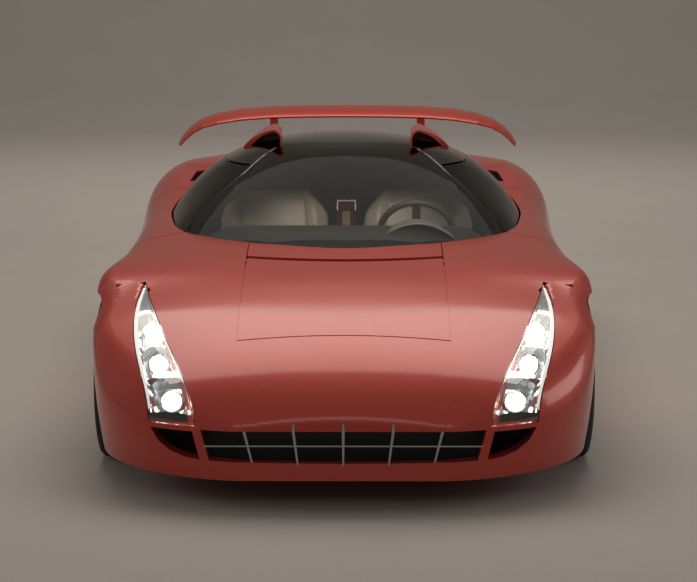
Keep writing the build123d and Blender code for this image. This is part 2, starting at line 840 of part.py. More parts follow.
with BuildPart() as engine_cover:
    add(rear_shell)
    add(blocks([(-COVER_HALF, COVER_HALF, COVER_FRONT, 3800, 700, ABOVE)]), mode=Mode.INTERSECT)
    add(cover_swing, mode=Mode.INTERSECT)
    for number in range(LOUVRES):
        start = LOUVRE_START + LOUVRE_PITCH * number
        slot = [(start, 800), (start + LOUVRE_SLOT, 800), (start - LOUVRE_RAKE + LOUVRE_SLOT, ABOVE)]
        add(side_prism(slot + [(start - LOUVRE_RAKE, ABOVE)], -LOUVRE_HALF, LOUVRE_HALF), mode=Mode.SUBTRACT)
    add(both_sides(cover_notch()), mode=Mode.SUBTRACT)
    add(both_sides(rod("X", HINGE_PIN, COVER_LUG[0] - 18, COVER_LUG[1] + 18, *COVER_AXIS)))
engine_cover.part.label = "engine_cover"

# ---------------------------------------------------------------- roof scoops and wing
# Scoop sections. Columns: station, x of the inner side, of the crest and of the outer edge,
# height of the crest and of the outer edge.
SCOOP = [
    (2240, 290, 328, 470, 1172, 1090),
    (2450, 294, 332, 470, 1180, 1090),
    (2800, 306, 344, 462, 1160, 1078),
    (3200, 332, 362, 440, 1082, 1012),
    (3560, 362, 376, 408, 950, 936),
]
SCOOP_WALL = 8
# Mouth of the scoop in plan, as (x, station) of its inner and outer ends.
MOUTH = ((294, 2273), (433, 2436))


def scoop_section(station, inner, crest_x, outer, crest, edge, floor):
    """A section with a steep inner side, a rounded crest and a long outer slope."""
    turn = crest - (crest_x - inner)
    shoulder = ((crest_x * 2 + outer) / 3, (crest * 2 + edge) / 3 + (crest - edge) * 0.12)
    bend = math.sqrt(0.5)
    mid = (crest_x - (crest_x - inner) * bend, turn + (crest_x - inner) * bend)
    with BuildSketch(Plane.XZ.offset(-back(station))) as outline:
        with BuildLine():
            Polyline((outer, edge), (outer, floor), (inner, floor), (inner, turn))
            ThreePointArc((inner, turn), mid, (crest_x, crest))
            ThreePointArc((crest_x, crest), shoulder, (outer, edge))
        make_face()
    return outline.sketch


def roof_scoop():
    """A forward-facing intake fairing along the roof's edge."""
    with BuildPart() as solid:
        loft([scoop_section(*row, 800) for row in SCOOP])
    with BuildPart() as mouth:
        loft(
            [
                scoop_section(
                    station,
                    inner + SCOOP_WALL,
                    crest_x,
                    outer - 3 * SCOOP_WALL,
                    crest - SCOOP_WALL,
                    edge - SCOOP_WALL,
                    900,
                )
                for station, inner, crest_x, outer, crest, edge in SCOOP[:3]
            ]
        )
    (inner_x, inner_s), (outer_x, outer_s) = MOUTH
    ahead = [(inner_x - 94, 2200), (inner_x, inner_s), (outer_x, outer_s)]
    rake = plan_prism(ahead + [(outer_x + 90, outer_s), (outer_x + 90, 2200)], 900, ABOVE)
    duct_end = blocks([(200, 600, 2700, 3000, 900, ABOVE)])
    return cut(solid.part, cut(mouth.part, duct_end), rake, canopy, hull)


with BuildPart() as roof_scoop_left:
    add(roof_scoop())
roof_scoop_left.part.label = "roof_scoop_left"
with BuildPart() as roof_scoop_right:
    mirror(roof_scoop_left.part, about=Plane.YZ)
roof_scoop_right.part.label = "roof_scoop_right"

# Wing sections. Columns: x, height, lean outward in degrees, chord, thickness, station of the middle.
WING_PITCH = 6  # degrees, nose down
WING = [
    (0, 1118, 0, 290, 42, 4000),
    (200, 1117, 1, 290, 42, 4000),
    (400, 1112, 3, 288, 42, 4000),
    (560, 1099, 7, 284, 41, 4001),
    (680, 1079, 12, 276, 39, 4003),
    (760, 1055, 24, 258, 35, 4006),
    (815, 1022, 40, 232, 30, 4010),
    (855, 984, 50, 200, 25, 4014),
    (885, 944, 54, 150, 16, 4018),
]


def wing_section(x, height, lean, chord, thickness, station):
    """A rounded blade section square to the wing's own line."""
    tilt = math.radians(lean)
    across = Plane(
        origin=(x, back(station), height), x_dir=(0, 1, 0), z_dir=(math.cos(tilt), 0, -math.sin(tilt))
    )
    with BuildSketch(across) as outline:
        Ellipse(chord / 2, thickness / 2, rotation=WING_PITCH)
    return outline.sketch


with BuildPart() as wing_half:
    loft([wing_section(*row) for row in WING], ruled=True)
with BuildPart() as rear_wing:
    add(both_sides(wing_half.part))
    add(both_sides(blocks([(363, 403, 3880, 4030, 950, 1104)])))
rear_wing.part.label = "rear_wing"

# ---------------------------------------------------------------- tail
TAIL_LAMPS = (535, 675)  # distances of the round units from the centreline

with BuildPart() as tail_lamps:
    for lamp_x in TAIL_LAMPS:
        add(both_sides(rod("Y", 54, LENGTH - 30, LENGTH - 5, lamp_x, 665)))
tail_lamps.part.label = "tail_lamps"

with BuildPart() as exhaust:
    for tip_x in (-150, 150):
        add(rod("Y", 55, LENGTH - 240, LENGTH - 4, tip_x, 400))
        add(rod("Y", 47, LENGTH - 120, LENGTH, tip_x, 400), mode=Mode.SUBTRACT)
    add(blocks([(-210, 210, LENGTH - 240, LENGTH - 200, 345, 455)]))
exhaust.part.label = "exhaust"

with BuildPart() as engine_block:
    add(blocks([(-280, 280, 2990, 3620, FLOOR_TOP, 640)]))
engine_block.part.label = "engine_block"

# ---------------------------------------------------------------- cabin
STEER_CENTRE = (305, 1790, 770)
STEER_TILT = 24
STEER_RADIUS = 160
COLUMN_RADIUS = 22
COLUMN_LENGTH = 130
# Dashboard side view, as (station, height).
DASH = [
    (1345, 700),
    (1345, 735),
    (1430, 772),
    (1560, 812),
    (1660, 826),
    (1702, 812),
    (1712, 770),
    (1690, 690),
    (1640, 630),
    (1564, 610),
    (1564, 700),
]
HOOD = (305, 150, 730, 848, 1530, 1690)  # instrument hood: x, half width, foot, crest, stations


def column(radius, length):
    """The steering column, running forward and down from the wheel."""
    x, station, height = STEER_CENTRE
    along = Plane(
        origin=(x, back(station), height),
        x_dir=(1, 0, 0),
        z_dir=(0, -math.cos(math.radians(STEER_TILT)), -math.sin(math.radians(STEER_TILT))),
    )
    with BuildPart() as made:
        with BuildSketch(along):
            Circle(radius)
        extrude(amount=length)
    return made.part


def instrument_hood():
    """An arched hood over the instruments."""
    x, half, foot, crest, start, end = HOOD
    with BuildPart() as made:
        with BuildSketch(Plane.XZ.offset(-back(start))):
            with BuildLine():
                Polyline((x - half, 790), (x - half, foot), (x + half, foot), (x + half, 790))
                ThreePointArc((x + half, 790), (x, crest), (x - half, 790))
            make_face()
        extrude(amount=start - end)
    return made.part


with BuildPart() as dashboard:
    add(fused(side_prism(DASH, -600, 600), instrument_hood()))
    add(canopy_body(FRAME_DEPTH + 12), mode=Mode.INTERSECT)
    add(column(COLUMN_RADIUS + 1, COLUMN_LENGTH), mode=Mode.SUBTRACT)
dashboard.part.label = "dashboard"

with BuildPart() as steering_wheel:
    add(column(COLUMN_RADIUS, COLUMN_LENGTH))
    with Locations(
        Location((STEER_CENTRE[0], back(STEER_CENTRE[1]), STEER_CENTRE[2]), (90 + STEER_TILT, 0, 0))
    ):
        Torus(STEER_RADIUS, 14)
        Cylinder(45, 30)
        Box(2 * STEER_RADIUS, 36, 12)
        with Locations((0, STEER_RADIUS / 2, 0)):
            Box(36, STEER_RADIUS, 12)
steering_wheel.part.label = "steering_wheel"

SEAT_CENTRE = 338
SEAT_HALF = 278
SEAT_FOOT = 2390
SEAT_LEAN = 20
# Cushion side view, as (station, height).
SEAT_BASE = [(1960, PAN_TOP), (2400, PAN_TOP), (2400, 262), (1985, 345), (1940, 325)]
# Back outline from its foot, as (x from the centre, distance up the back).
SEAT_BACK = [(SEAT_HALF, 0), (SEAT_HALF, 660), (250, 722), (172, 762), (158, 775), (138, 835), (80, 884)]
SEAT_THICK = 120


def seat():
    """A bucket seat: a sloping cushion and a back with square shoulders and a built-in headrest."""
    lean = math.radians(SEAT_LEAN)
    upright = Plane(
        origin=(SEAT_CENTRE, back(SEAT_FOOT), PAN_TOP),
        x_dir=(1, 0, 0),
        z_dir=(0, math.cos(lean), -math.sin(lean)),
    )
    with BuildPart() as made:
        add(side_prism(SEAT_BASE, SEAT_CENTRE - SEAT_HALF + 20, SEAT_CENTRE + SEAT_HALF - 20))
        with BuildSketch(upright):
            with BuildLine():
                Polyline([(x, -up) for x, up in both_ways(SEAT_BACK)], close=True)
            make_face()
        extrude(amount=SEAT_THICK)
        add(blocks([(0, BEYOND, 1900, SEAT_FOOT + 200, 0, PAN_TOP)]), mode=Mode.SUBTRACT)
    return made.part


with BuildPart() as seat_left:
    add(seat())
seat_left.part.label = "seat_left"
with BuildPart() as seat_right:
    mirror(seat_left.part, about=Plane.YZ)
seat_right.part.label = "seat_right"

SPINE_HALF = 45
# Spine side view, as (station, height).
SPINE = [(1716, PAN_TOP), (2846, PAN_TOP), (2846, 812), (2640, 812), (2440, 560), (1760, 440)]

with BuildPart() as centre_spine:
    add(side_prism(SPINE, -SPINE_HALF, SPINE_HALF))
centre_spine.part.label = "centre_spine"

# ---------------------------------------------------------------- running gear
ARM_THICKNESS = 20


def wishbone(eye_z, x_inner, axle, eye_x, eye_bore):
    """A flat two-legged arm from the wheelhouse wall to an eye."""
    half = 100
    leg = plan_prism(
        [(x_inner, axle - half - 14), (x_inner, axle - half + 14), (eye_x, axle + 12), (eye_x, axle - 12)],
        eye_z,
        eye_z + ARM_THICKNESS,
    )
    other = plan_prism(
        [(x_inner, axle + half - 14), (x_inner, axle + half + 14), (eye_x, axle + 12), (eye_x, axle - 12)],
        eye_z,
        eye_z + ARM_THICKNESS,
    )
    eye = rod("Z", 24, eye_z, eye_z + ARM_THICKNESS, eye_x, axle)
    return cut(
        fused(leg, other, eye), rod("Z", eye_bore, eye_z - 1, eye_z + ARM_THICKNESS + 1, eye_x, axle)
    )


with BuildPart() as front_arms_left:
    add(wishbone(180, FRONT_WHEEL[4], FRONT_AXLE, KINGPIN_X, 12 + HINGE_PLAY))
    add(wishbone(440, FRONT_WHEEL[4], FRONT_AXLE, KINGPIN_X, 12 + HINGE_PLAY))
front_arms_left.part.label = "front_arms_left"
with BuildPart() as front_arms_right:
    mirror(front_arms_left.part, about=Plane.YZ)
front_arms_right.part.label = "front_arms_right"

with BuildPart() as knuckle_left:
    add(blocks([(800, 845, FRONT_AXLE - 32, FRONT_AXLE + 32, 202, 438)]))
    add(rod("Z", 12, 182, 458, KINGPIN_X, FRONT_AXLE))
    add(rod("X", HUB_BORE - HUB_PLAY, 840, 925, FRONT_AXLE, FRONT_WHEEL[0]))
knuckle_left.part.label = "knuckle_left"
with BuildPart() as knuckle_right:
    mirror(knuckle_left.part, about=Plane.YZ)
knuckle_right.part.label = "knuckle_right"

REAR_LINKS = (205, 430)  # heights of the rear links

with BuildPart() as rear_upright_left:
    add(blocks([(745, 790, REAR_AXLE - 45, REAR_AXLE + 45, 200, 470)]))
    add(rod("X", HUB_BORE - HUB_PLAY, 780, 935, REAR_AXLE, REAR_WHEEL[0]))
    add(rod("X", 20, 280, 750, REAR_AXLE, REAR_WHEEL[0]))
    for link_foot in REAR_LINKS:
        add(blocks([(REAR_WHEEL[4], 750, REAR_AXLE - 20, REAR_AXLE + 20, link_foot, link_foot + 30)]))
rear_upright_left.part.label = "rear_upright_left"
with BuildPart() as rear_upright_right:
    mirror(rear_upright_left.part, about=Plane.YZ)
rear_upright_right.part.label = "rear_upright_right"


def spun(points, axle, height):
    """A solid of revolution about an axle, from (x, radius) points."""
    with BuildPart() as made:
        with BuildSketch(Plane.XY):
            with BuildLine():
                Polyline(points, close=True)
            make_face()
        revolve(axis=Axis.X)
    return made.part.moved(Location((0, back(axle), height)))


def tyre(wheel):
    """A road tyre with rounded shoulders."""
    radius, width, face, _, _, axle = wheel
    bead = radius - RIM_SIDEWALL
    inner = face - width
    return spun(
        [
            (inner + 12, bead),
            (face - 12, bead),
            (face - 2, bead + 25),
            (face, bead + 50),
            (face - 6, radius - 16),
            (face - 24, radius),
            (inner + 24, radius),
            (inner + 6, radius - 16),
            (inner, bead + 50),
            (inner + 2, bead + 25),
        ],
        axle,
        radius,
    )


def rim(wheel, spindle_end):
    """A five-spoke rim with its hub and brake disc."""
    radius, width, face, _, _, axle = wheel
    bead = radius - RIM_SIDEWALL - 0.1
    inner = face - width
    barrel = spun(
        [
            (inner + 14, bead),
            (face - 14, bead),
            (face - 14, bead - 14),
            (face - 40, bead - 22),
            (inner + 40, bead - 22),
            (inner + 14, bead - 12),
        ],
        axle,
        radius,
    )
    inboard = spindle_end - 65
    hub = spun([(inboard, 60), (face - 40, 60), (face - 28, 40), (face - 28, 0), (inboard, 0)], axle, radius)
    disc = spun([(inboard + 5, 165), (inboard + 29, 165), (inboard + 29, 0), (inboard + 5, 0)], axle, radius)
    with BuildPart() as spokes:
        with BuildSketch(Plane.YZ.offset(face - 58)):
            with PolarLocations(0, 5):
                with Locations((bead / 2 + 10, 0)):
                    Trapezoid(70, bead - 50, 82, rotation=90)
        extrude(amount=24)
    star = spokes.part.moved(Location((0, back(axle), radius)))
    bore = rod("X", HUB_BORE, 0, spindle_end + 4, axle, radius)
    return cut(fused(barrel, hub, disc, star), bore)


front_tyre_solid = tyre(FRONT_WHEEL)
rear_tyre_solid = tyre(REAR_WHEEL)
front_rim_solid = rim(FRONT_WHEEL, 925)
rear_rim_solid = rim(REAR_WHEEL, 935)

WHEEL_NODES = {
    "tyre_front_left": front_tyre_solid,
    "tyre_rear_left": rear_tyre_solid,
    "rim_front_left": front_rim_solid,
    "rim_rear_left": rear_rim_solid,
}

# ---------------------------------------------------------------- export
PARTS = [
    front_clip,
    front_lid,
    cowl_panel,
    grille_bars,
    nose_duct,
    headlamp_left,
    headlamp_right,
    lamp_lens_left,
    lamp_lens_right,
    cabin_tub,
    canopy_frame,
    windscreen,
    door_glass_left,
    door_glass_right,
    door_left,
    door_right,
    sill_left,
    sill_right,
    rear_clip,
    engine_cover,
    roof_scoop_left,
    roof_scoop_right,
    rear_wing,
    tail_lamps,
    exhaust,
    engine_block,
    dashboard,
    steering_wheel,
    seat_left,
    seat_right,
    centre_spine,
    front_arms_left,
    front_arms_right,
    knuckle_left,
    knuckle_right,
    rear_upright_left,
    rear_upright_right,
]

os.makedirs("parts", exist_ok=True)
for made in PARTS:
    export_step(made.part, f"parts/{made.part.label}.step")
for label, solid in WHEEL_NODES.items():
    export_step(solid, f"parts/{label}.step")
    export_step(mirrored(solid), f"parts/{label.replace('left', 'right')}.step")
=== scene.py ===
import json
import math

import bmesh
import bpy
from mathutils import Matrix, Vector
from mathutils.bvhtree import BVHTree
from mathutils.kdtree import KDTree

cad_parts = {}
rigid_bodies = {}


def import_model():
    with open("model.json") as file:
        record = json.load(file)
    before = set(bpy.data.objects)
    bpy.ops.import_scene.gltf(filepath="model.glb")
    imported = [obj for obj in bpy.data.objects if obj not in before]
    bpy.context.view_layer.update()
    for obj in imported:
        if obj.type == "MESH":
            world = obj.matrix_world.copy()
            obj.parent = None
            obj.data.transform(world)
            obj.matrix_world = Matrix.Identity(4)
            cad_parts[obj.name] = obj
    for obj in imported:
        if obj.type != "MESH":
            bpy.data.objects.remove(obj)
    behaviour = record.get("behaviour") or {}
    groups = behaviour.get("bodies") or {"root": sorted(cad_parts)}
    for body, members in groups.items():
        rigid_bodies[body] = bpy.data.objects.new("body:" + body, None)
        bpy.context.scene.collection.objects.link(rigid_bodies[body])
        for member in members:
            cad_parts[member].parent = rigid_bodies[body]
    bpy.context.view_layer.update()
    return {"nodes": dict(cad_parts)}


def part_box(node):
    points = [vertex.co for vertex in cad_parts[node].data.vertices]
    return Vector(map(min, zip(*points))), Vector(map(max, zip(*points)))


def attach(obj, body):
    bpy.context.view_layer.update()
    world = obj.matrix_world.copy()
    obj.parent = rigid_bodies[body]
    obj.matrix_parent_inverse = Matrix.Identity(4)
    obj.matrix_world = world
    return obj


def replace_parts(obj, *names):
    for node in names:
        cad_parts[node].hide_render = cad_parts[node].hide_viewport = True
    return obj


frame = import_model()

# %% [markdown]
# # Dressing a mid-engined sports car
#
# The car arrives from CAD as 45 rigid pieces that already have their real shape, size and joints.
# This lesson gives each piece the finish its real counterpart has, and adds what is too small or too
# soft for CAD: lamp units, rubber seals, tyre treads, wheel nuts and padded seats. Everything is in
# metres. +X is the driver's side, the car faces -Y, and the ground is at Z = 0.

nodes = frame["nodes"]
print("CAD pieces:", len(nodes))

# %% [markdown]
# ## Colours and nodes
#
# Artists pick colours as hex codes on a screen, which are sRGB, while a renderer adds up light, which
# is linear. One function converts every colour once. A second one adds a shader node with its
# settings and links in a single line, so that a material reads like a recipe.

# %% Helpers for materials
COLOUR_A, COLOUR_B, FLOAT_A, FLOAT_B, COLOUR_OUT = 6, 7, 2, 3, 2  # sockets of the Mix node


def hex_to_linear(code):
    """Linear red, green, blue and alpha of an sRGB hex code."""
    values = [int(code[i : i + 2], 16) / 255 for i in (1, 3, 5)]
    return [v / 12.92 if v <= 0.04045 else ((v + 0.055) / 1.055) ** 2.4 for v in values] + [1.0]


def add_node(tree, kind, inputs=None, **settings):
    """A shader node with its settings, and with each input set to a value or linked to an output."""
    made = tree.nodes.new("ShaderNode" + kind)
    for name, value in settings.items():
        setattr(made, name, value)
    feed(tree, made, inputs or {})
    return made


def feed(tree, node, inputs):
    """Set each named input of a node to a value, or link it to an output."""
    for socket, value in inputs.items():
        if isinstance(value, bpy.types.NodeSocket):
            tree.links.new(value, node.inputs[socket])
        else:
            node.inputs[socket].default_value = value


def new_finish(name, colour, **sockets):
    """A material with one surface shader; sockets are its constants, with spaces as underscores."""
    material = bpy.data.materials.new(name)
    material.use_nodes = True
    shader = material.node_tree.nodes["Principled BSDF"]
    shader.inputs["Base Color"].default_value = hex_to_linear(colour)
    for socket, value in sockets.items():
        shader.inputs[socket.replace("_", " ")].default_value = value
    return material, material.node_tree, shader


def per_metre(millimetres):
    """Scale of a texture whose features are this many millimetres apart."""
    return 1000 / millimetres


# %% [markdown]
# Most finishes share three habits of real surfaces: the colour drifts a little from place to place,
# the gloss is not even, and fine relief catches the light. A texture read from the object's own
# coordinates gives all three without any unwrapping, because every piece keeps its real place.

# %% Colour drift, uneven gloss and relief
def vary(tree, shader, light, dark, grain, gloss, depth):
    """Drift between two colours, a gloss range, and relief; grain and depth in millimetres."""
    place = add_node(tree, "TexCoord").outputs["Object"]
    drift = add_node(tree, "TexNoise", {"Vector": place, "Scale": per_metre(grain * 12), "Detail": 4.0})
    fine = add_node(tree, "TexNoise", {"Vector": place, "Scale": per_metre(grain), "Detail": 3.0})
    height = fine.outputs["Fac"]
    tones = {0: drift.outputs["Fac"], COLOUR_A: hex_to_linear(dark), COLOUR_B: hex_to_linear(light)}
    blend = add_node(tree, "Mix", tones, data_type="RGBA")
    spread = add_node(tree, "MapRange", {"Value": height, "To Min": gloss[0], "To Max": gloss[1]})
    relief = add_node(tree, "Bump", {"Height": height, "Distance": depth / 1000, "Strength": 0.6})
    surface = {"Base Color": blend.outputs[COLOUR_OUT], "Roughness": spread.outputs["Result"]}
    feed(tree, shader, {**surface, "Normal": relief.outputs["Normal"]})
    return place, relief


def grained(name, light, dark, gloss, grain, depth, **sockets):
    """A finish that only varies."""
    material, tree, shader = new_finish(name, light, **sockets)
    vary(tree, shader, light, dark, grain, gloss, depth)
    return material


# %% [markdown]
# ## Body paint
#
# The body is a metallic red: a coloured basecoat with aluminium flakes, sprayed in thin layers, under
# a clear lacquer. The basecoat spreads light softly, so broad studio lamps melt into a pale band, and
# the lacquer adds a second, sharper reflection. Real flakes are about 0.03 mm and would never show, so
# they are drawn 1.5 mm apart, faint. The lacquer's own slow waviness is orange peel, about 8 mm long.

# %% Red metallic lacquer
def red_lacquer():
    """Flaked basecoat under a lacquer with its own slow waves."""
    lacquer = {"Coat_Weight": 0.8, "Coat_Roughness": 0.12, "Coat_IOR": 1.5}
    material, tree, shader = new_finish("red_metallic_lacquer", "#b4311f", Metallic=0.3, **lacquer)
    place, _ = vary(tree, shader, "#b83421", "#a92d1c", 1.5, (0.38, 0.5), 0.01)
    peel = add_node(tree, "TexNoise", {"Vector": place, "Scale": per_metre(8), "Detail": 1.0})
    skin = add_node(tree, "Bump", {"Height": peel.outputs["Fac"], "Distance": 0.00002, "Strength": 0.5})
    feed(tree, shader, {"Coat Normal": skin.outputs["Normal"]})
    return material


paint = red_lacquer()
print("paint:", paint.name)

# %% [markdown]
# ## Glass and clear plastics
#
# The screen and side windows are tinted laminated glass, 5 mm thick. Light crosses two surfaces, so
# the tint here is the square root of what the pane takes away. The lamp covers are clear polished
# polycarbonate. Neither needs relief, but dust and polish marks vary the gloss very slightly.

# %% Clear materials
def clear_sheet(name, colour, ior, polish):
    """A see-through finish; polish is its range of roughness."""
    material, tree, shader = new_finish(name, colour, IOR=ior, Transmission_Weight=1.0)
    place = add_node(tree, "TexCoord").outputs["Object"]
    haze = add_node(tree, "TexNoise", {"Vector": place, "Scale": per_metre(60), "Detail": 3.0})
    limits = {"Value": haze.outputs["Fac"], "To Min": polish[0], "To Max": polish[1]}
    gloss = add_node(tree, "MapRange", limits)
    feed(tree, shader, {"Roughness": gloss.outputs["Result"]})
    return material


screen_glass = clear_sheet("tinted_laminated_glass", "#c4c6c2", 1.5, (0.0, 0.02))
side_glass = clear_sheet("dark_privacy_glass", "#6a6c6a", 1.5, (0.0, 0.02))
lamp_cover = clear_sheet("polished_polycarbonate", "#fbfdfd", 1.585, (0.0, 0.015))
print("clear sheets:", screen_glass.name, side_glass.name, lamp_cover.name)

# %% [markdown]
# ## Metals
#
# A metal's colour is the colour of its reflection. What tells one metal from another is how it was
# worked: vacuum-coated reflectors are mirrors, anodised bars are satin, cast iron is pitted, and a
# turned brake disc has rings around its axle.

# %% Metals
def metal(*row):
    """A grained finish that is metal throughout."""
    return grained(*row, Metallic=1.0)


# Columns: name, light tone, dark tone, roughness range, grain and relief in millimetres.
reflector = metal("vacuum_coated_reflector", "#eef1f2", "#dfe3e5", (0.08, 0.2), 6, 0.02)
bright_trim = metal("polished_aluminium_trim", "#e6e7e6", "#d2d4d4", (0.12, 0.22), 2, 0.01)
satin_bar = metal("satin_anodised_aluminium", "#b9bbb9", "#a4a6a5", (0.3, 0.42), 0.8, 0.02)
cast_alloy = metal("sand_cast_aluminium", "#9a9c9b", "#7d8080", (0.45, 0.62), 1.6, 0.25)
forged_steel = metal("black_oxide_steel", "#3a3b3d", "#2a2b2c", (0.4, 0.55), 1.2, 0.08)
stainless = metal("stainless_exhaust_steel", "#a69d92", "#85796b", (0.22, 0.4), 1.0, 0.03)
gold_inlay = metal("brushed_gold_anodised_strip", "#a8926a", "#94805a", (0.3, 0.45), 0.8, 0.02)
print("metals:", [m.name for m in (reflector, bright_trim, satin_bar, cast_alloy, forged_steel, stainless)])


# %% [markdown]
# The wheel is one CAD piece that holds two metals: a painted alloy rim, and inside it a turned iron
# brake disc. The material tells them apart by place. Distance from the axle gives the disc's rings,
# and distance from the centre of the car gives where the disc ends and the spokes begin.

# %% Rim and brake disc in one material
DISC_BEHIND_FACE = 0.095
DISC_RADII = (0.168, 0.17)
RING_PITCH = 2.5  # millimetres between the disc's turned rings


def wheel_metal(name, node):
    """Iron with rings within the disc's place, alloy everywhere else."""
    low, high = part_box(node)
    axle = (0, (low.y + high.y) / 2, (low.z + high.z) / 2)
    disc_edge = max(abs(low.x), abs(high.x)) - DISC_BEHIND_FACE
    material, tree, shader = new_finish(name, "#8d9092", Metallic=1.0)
    place = add_node(tree, "TexCoord").outputs["Object"]
    from_axle = add_node(tree, "VectorMath", {0: place, 1: axle}, operation="SUBTRACT")
    flat = add_node(tree, "VectorMath", {0: from_axle.outputs[0], 1: (0, 1, 1)}, operation="MULTIPLY")
    radius = add_node(tree, "VectorMath", {0: flat.outputs[0]}, operation="LENGTH").outputs["Value"]
    turns = {0: radius, 1: 2 * math.pi * per_metre(RING_PITCH)}
    phase = add_node(tree, "Math", turns, operation="MULTIPLY")
    rings = add_node(tree, "Math", {0: phase.outputs[0]}, operation="SINE")
    apart = add_node(tree, "SeparateXYZ", {"Vector": place})
    across = add_node(tree, "Math", {0: apart.outputs["X"]}, operation="ABSOLUTE")
    edge = {"Value": across.outputs[0], "From Min": disc_edge - 0.001, "From Max": disc_edge + 0.001}
    outboard = add_node(tree, "MapRange", edge)
    limits = {"Value": radius, "From Min": DISC_RADII[0], "From Max": DISC_RADII[1]}
    beyond = add_node(tree, "MapRange", limits)
    either = add_node(tree, "Math", {0: outboard.outputs[0], 1: beyond.outputs[0]}, operation="MAXIMUM")
    is_rim = either.outputs[0]
    noise = add_node(tree, "TexNoise", {"Vector": place, "Scale": per_metre(1.5), "Detail": 3.0})
    sparkle = noise.outputs["Fac"]
    tones = {0: is_rim, COLOUR_A: hex_to_linear("#6d6c6a"), COLOUR_B: hex_to_linear("#9a9d9f")}
    colour = add_node(tree, "Mix", tones, data_type="RGBA")
    gloss = add_node(tree, "MapRange", {"Value": sparkle, "To Min": 0.24, "To Max": 0.38})
    heights = {0: is_rim, FLOAT_A: rings.outputs[0], FLOAT_B: sparkle}
    height = add_node(tree, "Mix", heights, data_type="FLOAT").outputs[0]
    relief = add_node(tree, "Bump", {"Height": height, "Distance": 0.00006, "Strength": 0.7})
    surface = {"Base Color": colour.outputs[COLOUR_OUT], "Roughness": gloss.outputs["Result"]}
    feed(tree, shader, {**surface, "Normal": relief.outputs["Normal"]})
    return material


# %% [markdown]
# ## Plastics, rubber and cloth
#
# Moulded plastics carry a fine leather-like grain of about 1 mm. Rubber is darker and duller, and
# greys a little where it has weathered. Carpet is looped pile: its loops, about 3 mm apart, are
# drawn with round cells.

# %% Plastics and rubber
gloss_black = grained(
    "black_gelcoat", "#101112", "#0b0b0c", (0.1, 0.16), 3, 0.005, Coat_Weight=1.0, Coat_Roughness=0.03
)
trim_plastic = grained("moulded_black_plastic", "#1b1b1c", "#131314", (0.45, 0.6), 1.0, 0.12)
white_trim = grained("moulded_white_plastic", "#d9d5cc", "#cbc7be", (0.3, 0.45), 1.0, 0.03)
seal_rubber = grained("extruded_seal_rubber", "#121212", "#0b0b0b", (0.5, 0.65), 0.8, 0.05)
tyre_rubber = grained("vulcanised_tyre_rubber", "#1d1d1c", "#141413", (0.6, 0.8), 1.2, 0.12)
red_acrylic = grained(
    "red_lamp_acrylic", "#8c0f12", "#740a0d", (0.05, 0.12), 4, 0.01, Coat_Weight=1.0, Coat_Roughness=0.02
)


def looped_carpet():
    """Dark pile with round loops."""
    material, tree, shader = new_finish("looped_carpet", "#2b2927", Sheen_Weight=0.3, Sheen_Roughness=0.6)
    vary(tree, shader, "#302e2b", "#211f1d", 3, (0.85, 0.95), 0.4)
    place = add_node(tree, "TexCoord").outputs["Object"]
    loops = add_node(tree, "TexVoronoi", {"Vector": place, "Scale": per_metre(3)})
    rounds = {"Height": loops.outputs["Distance"], "Distance": 0.0015, "Strength": 0.8}
    feed(tree, shader, {"Normal": add_node(tree, "Bump", rounds).outputs["Normal"]})
    return material


def woven_wool():
    """Grey cloth with a faint fuzz."""
    material, tree, shader = new_finish("woven_grey_wool", "#2e2e2b", Sheen_Weight=0.2)
    vary(tree, shader, "#31312e", "#292926", 2, (0.8, 0.95), 0.2)
    return material


carpet = looped_carpet()
grey_cloth = woven_wool()
print("cloth:", carpet.name, grey_cloth.name)


# %% [markdown]
# ## Leather
#
# Upholstery leather is skin: tanned, pressed with a pebble grain and sealed with a thin satin coat.
# The grain is a web of creases about 2.5 mm apart, which a cell texture draws well, and the tone
# drifts over a hand's breadth.

# %% Leather
CREASE_PITCH = 2.5


def leather(name, light, dark):
    """Leather of a light and a dark tone."""
    material, tree, shader = new_finish(name, light, Coat_Weight=0.15, Coat_Roughness=0.35)
    place, relief = vary(tree, shader, light, dark, CREASE_PITCH, (0.42, 0.58), 0.1)
    cells = {"Vector": place, "Scale": per_metre(CREASE_PITCH)}
    creases = add_node(tree, "TexVoronoi", cells, feature="DISTANCE_TO_EDGE")
    web = add_node(tree, "MapRange", {"Value": creases.outputs["Distance"], "From Max": 0.12})
    pressed = {"Height": web.outputs["Result"], "Distance": 0.0003, "Strength": 0.5}
    skin = add_node(tree, "Bump", {**pressed, "Normal": relief.outputs[0]})
    feed(tree, shader, {"Normal": skin.outputs["Normal"]})
    return material


seat_leather = leather("stone_leather", "#8f8578", "#7a7064")
dash_leather = leather("charcoal_leather", "#262524", "#1c1b1a")
wheel_leather = leather("dark_wheel_leather", "#2e2c2a", "#242220")
spine_leather = leather("red_leather", "#93302c", "#7d2522")
pipe_leather = leather("pale_piping_leather", "#b9b1a2", "#a79f90")
# The dial hood's lighter grey is painted light: it stands in for the lit top of the hood.
hood_leather_painted_lit = leather("grey_hood_leather", "#6f6a66", "#615c58")
print("materials:", len(bpy.data.materials))

# %% [markdown]
# ## Dressing the CAD pieces
#
# Each CAD piece takes one finish. Its mesh is left as it is; only its material slot is filled. A name
# that ends in an underscore stands for a left and a right piece.

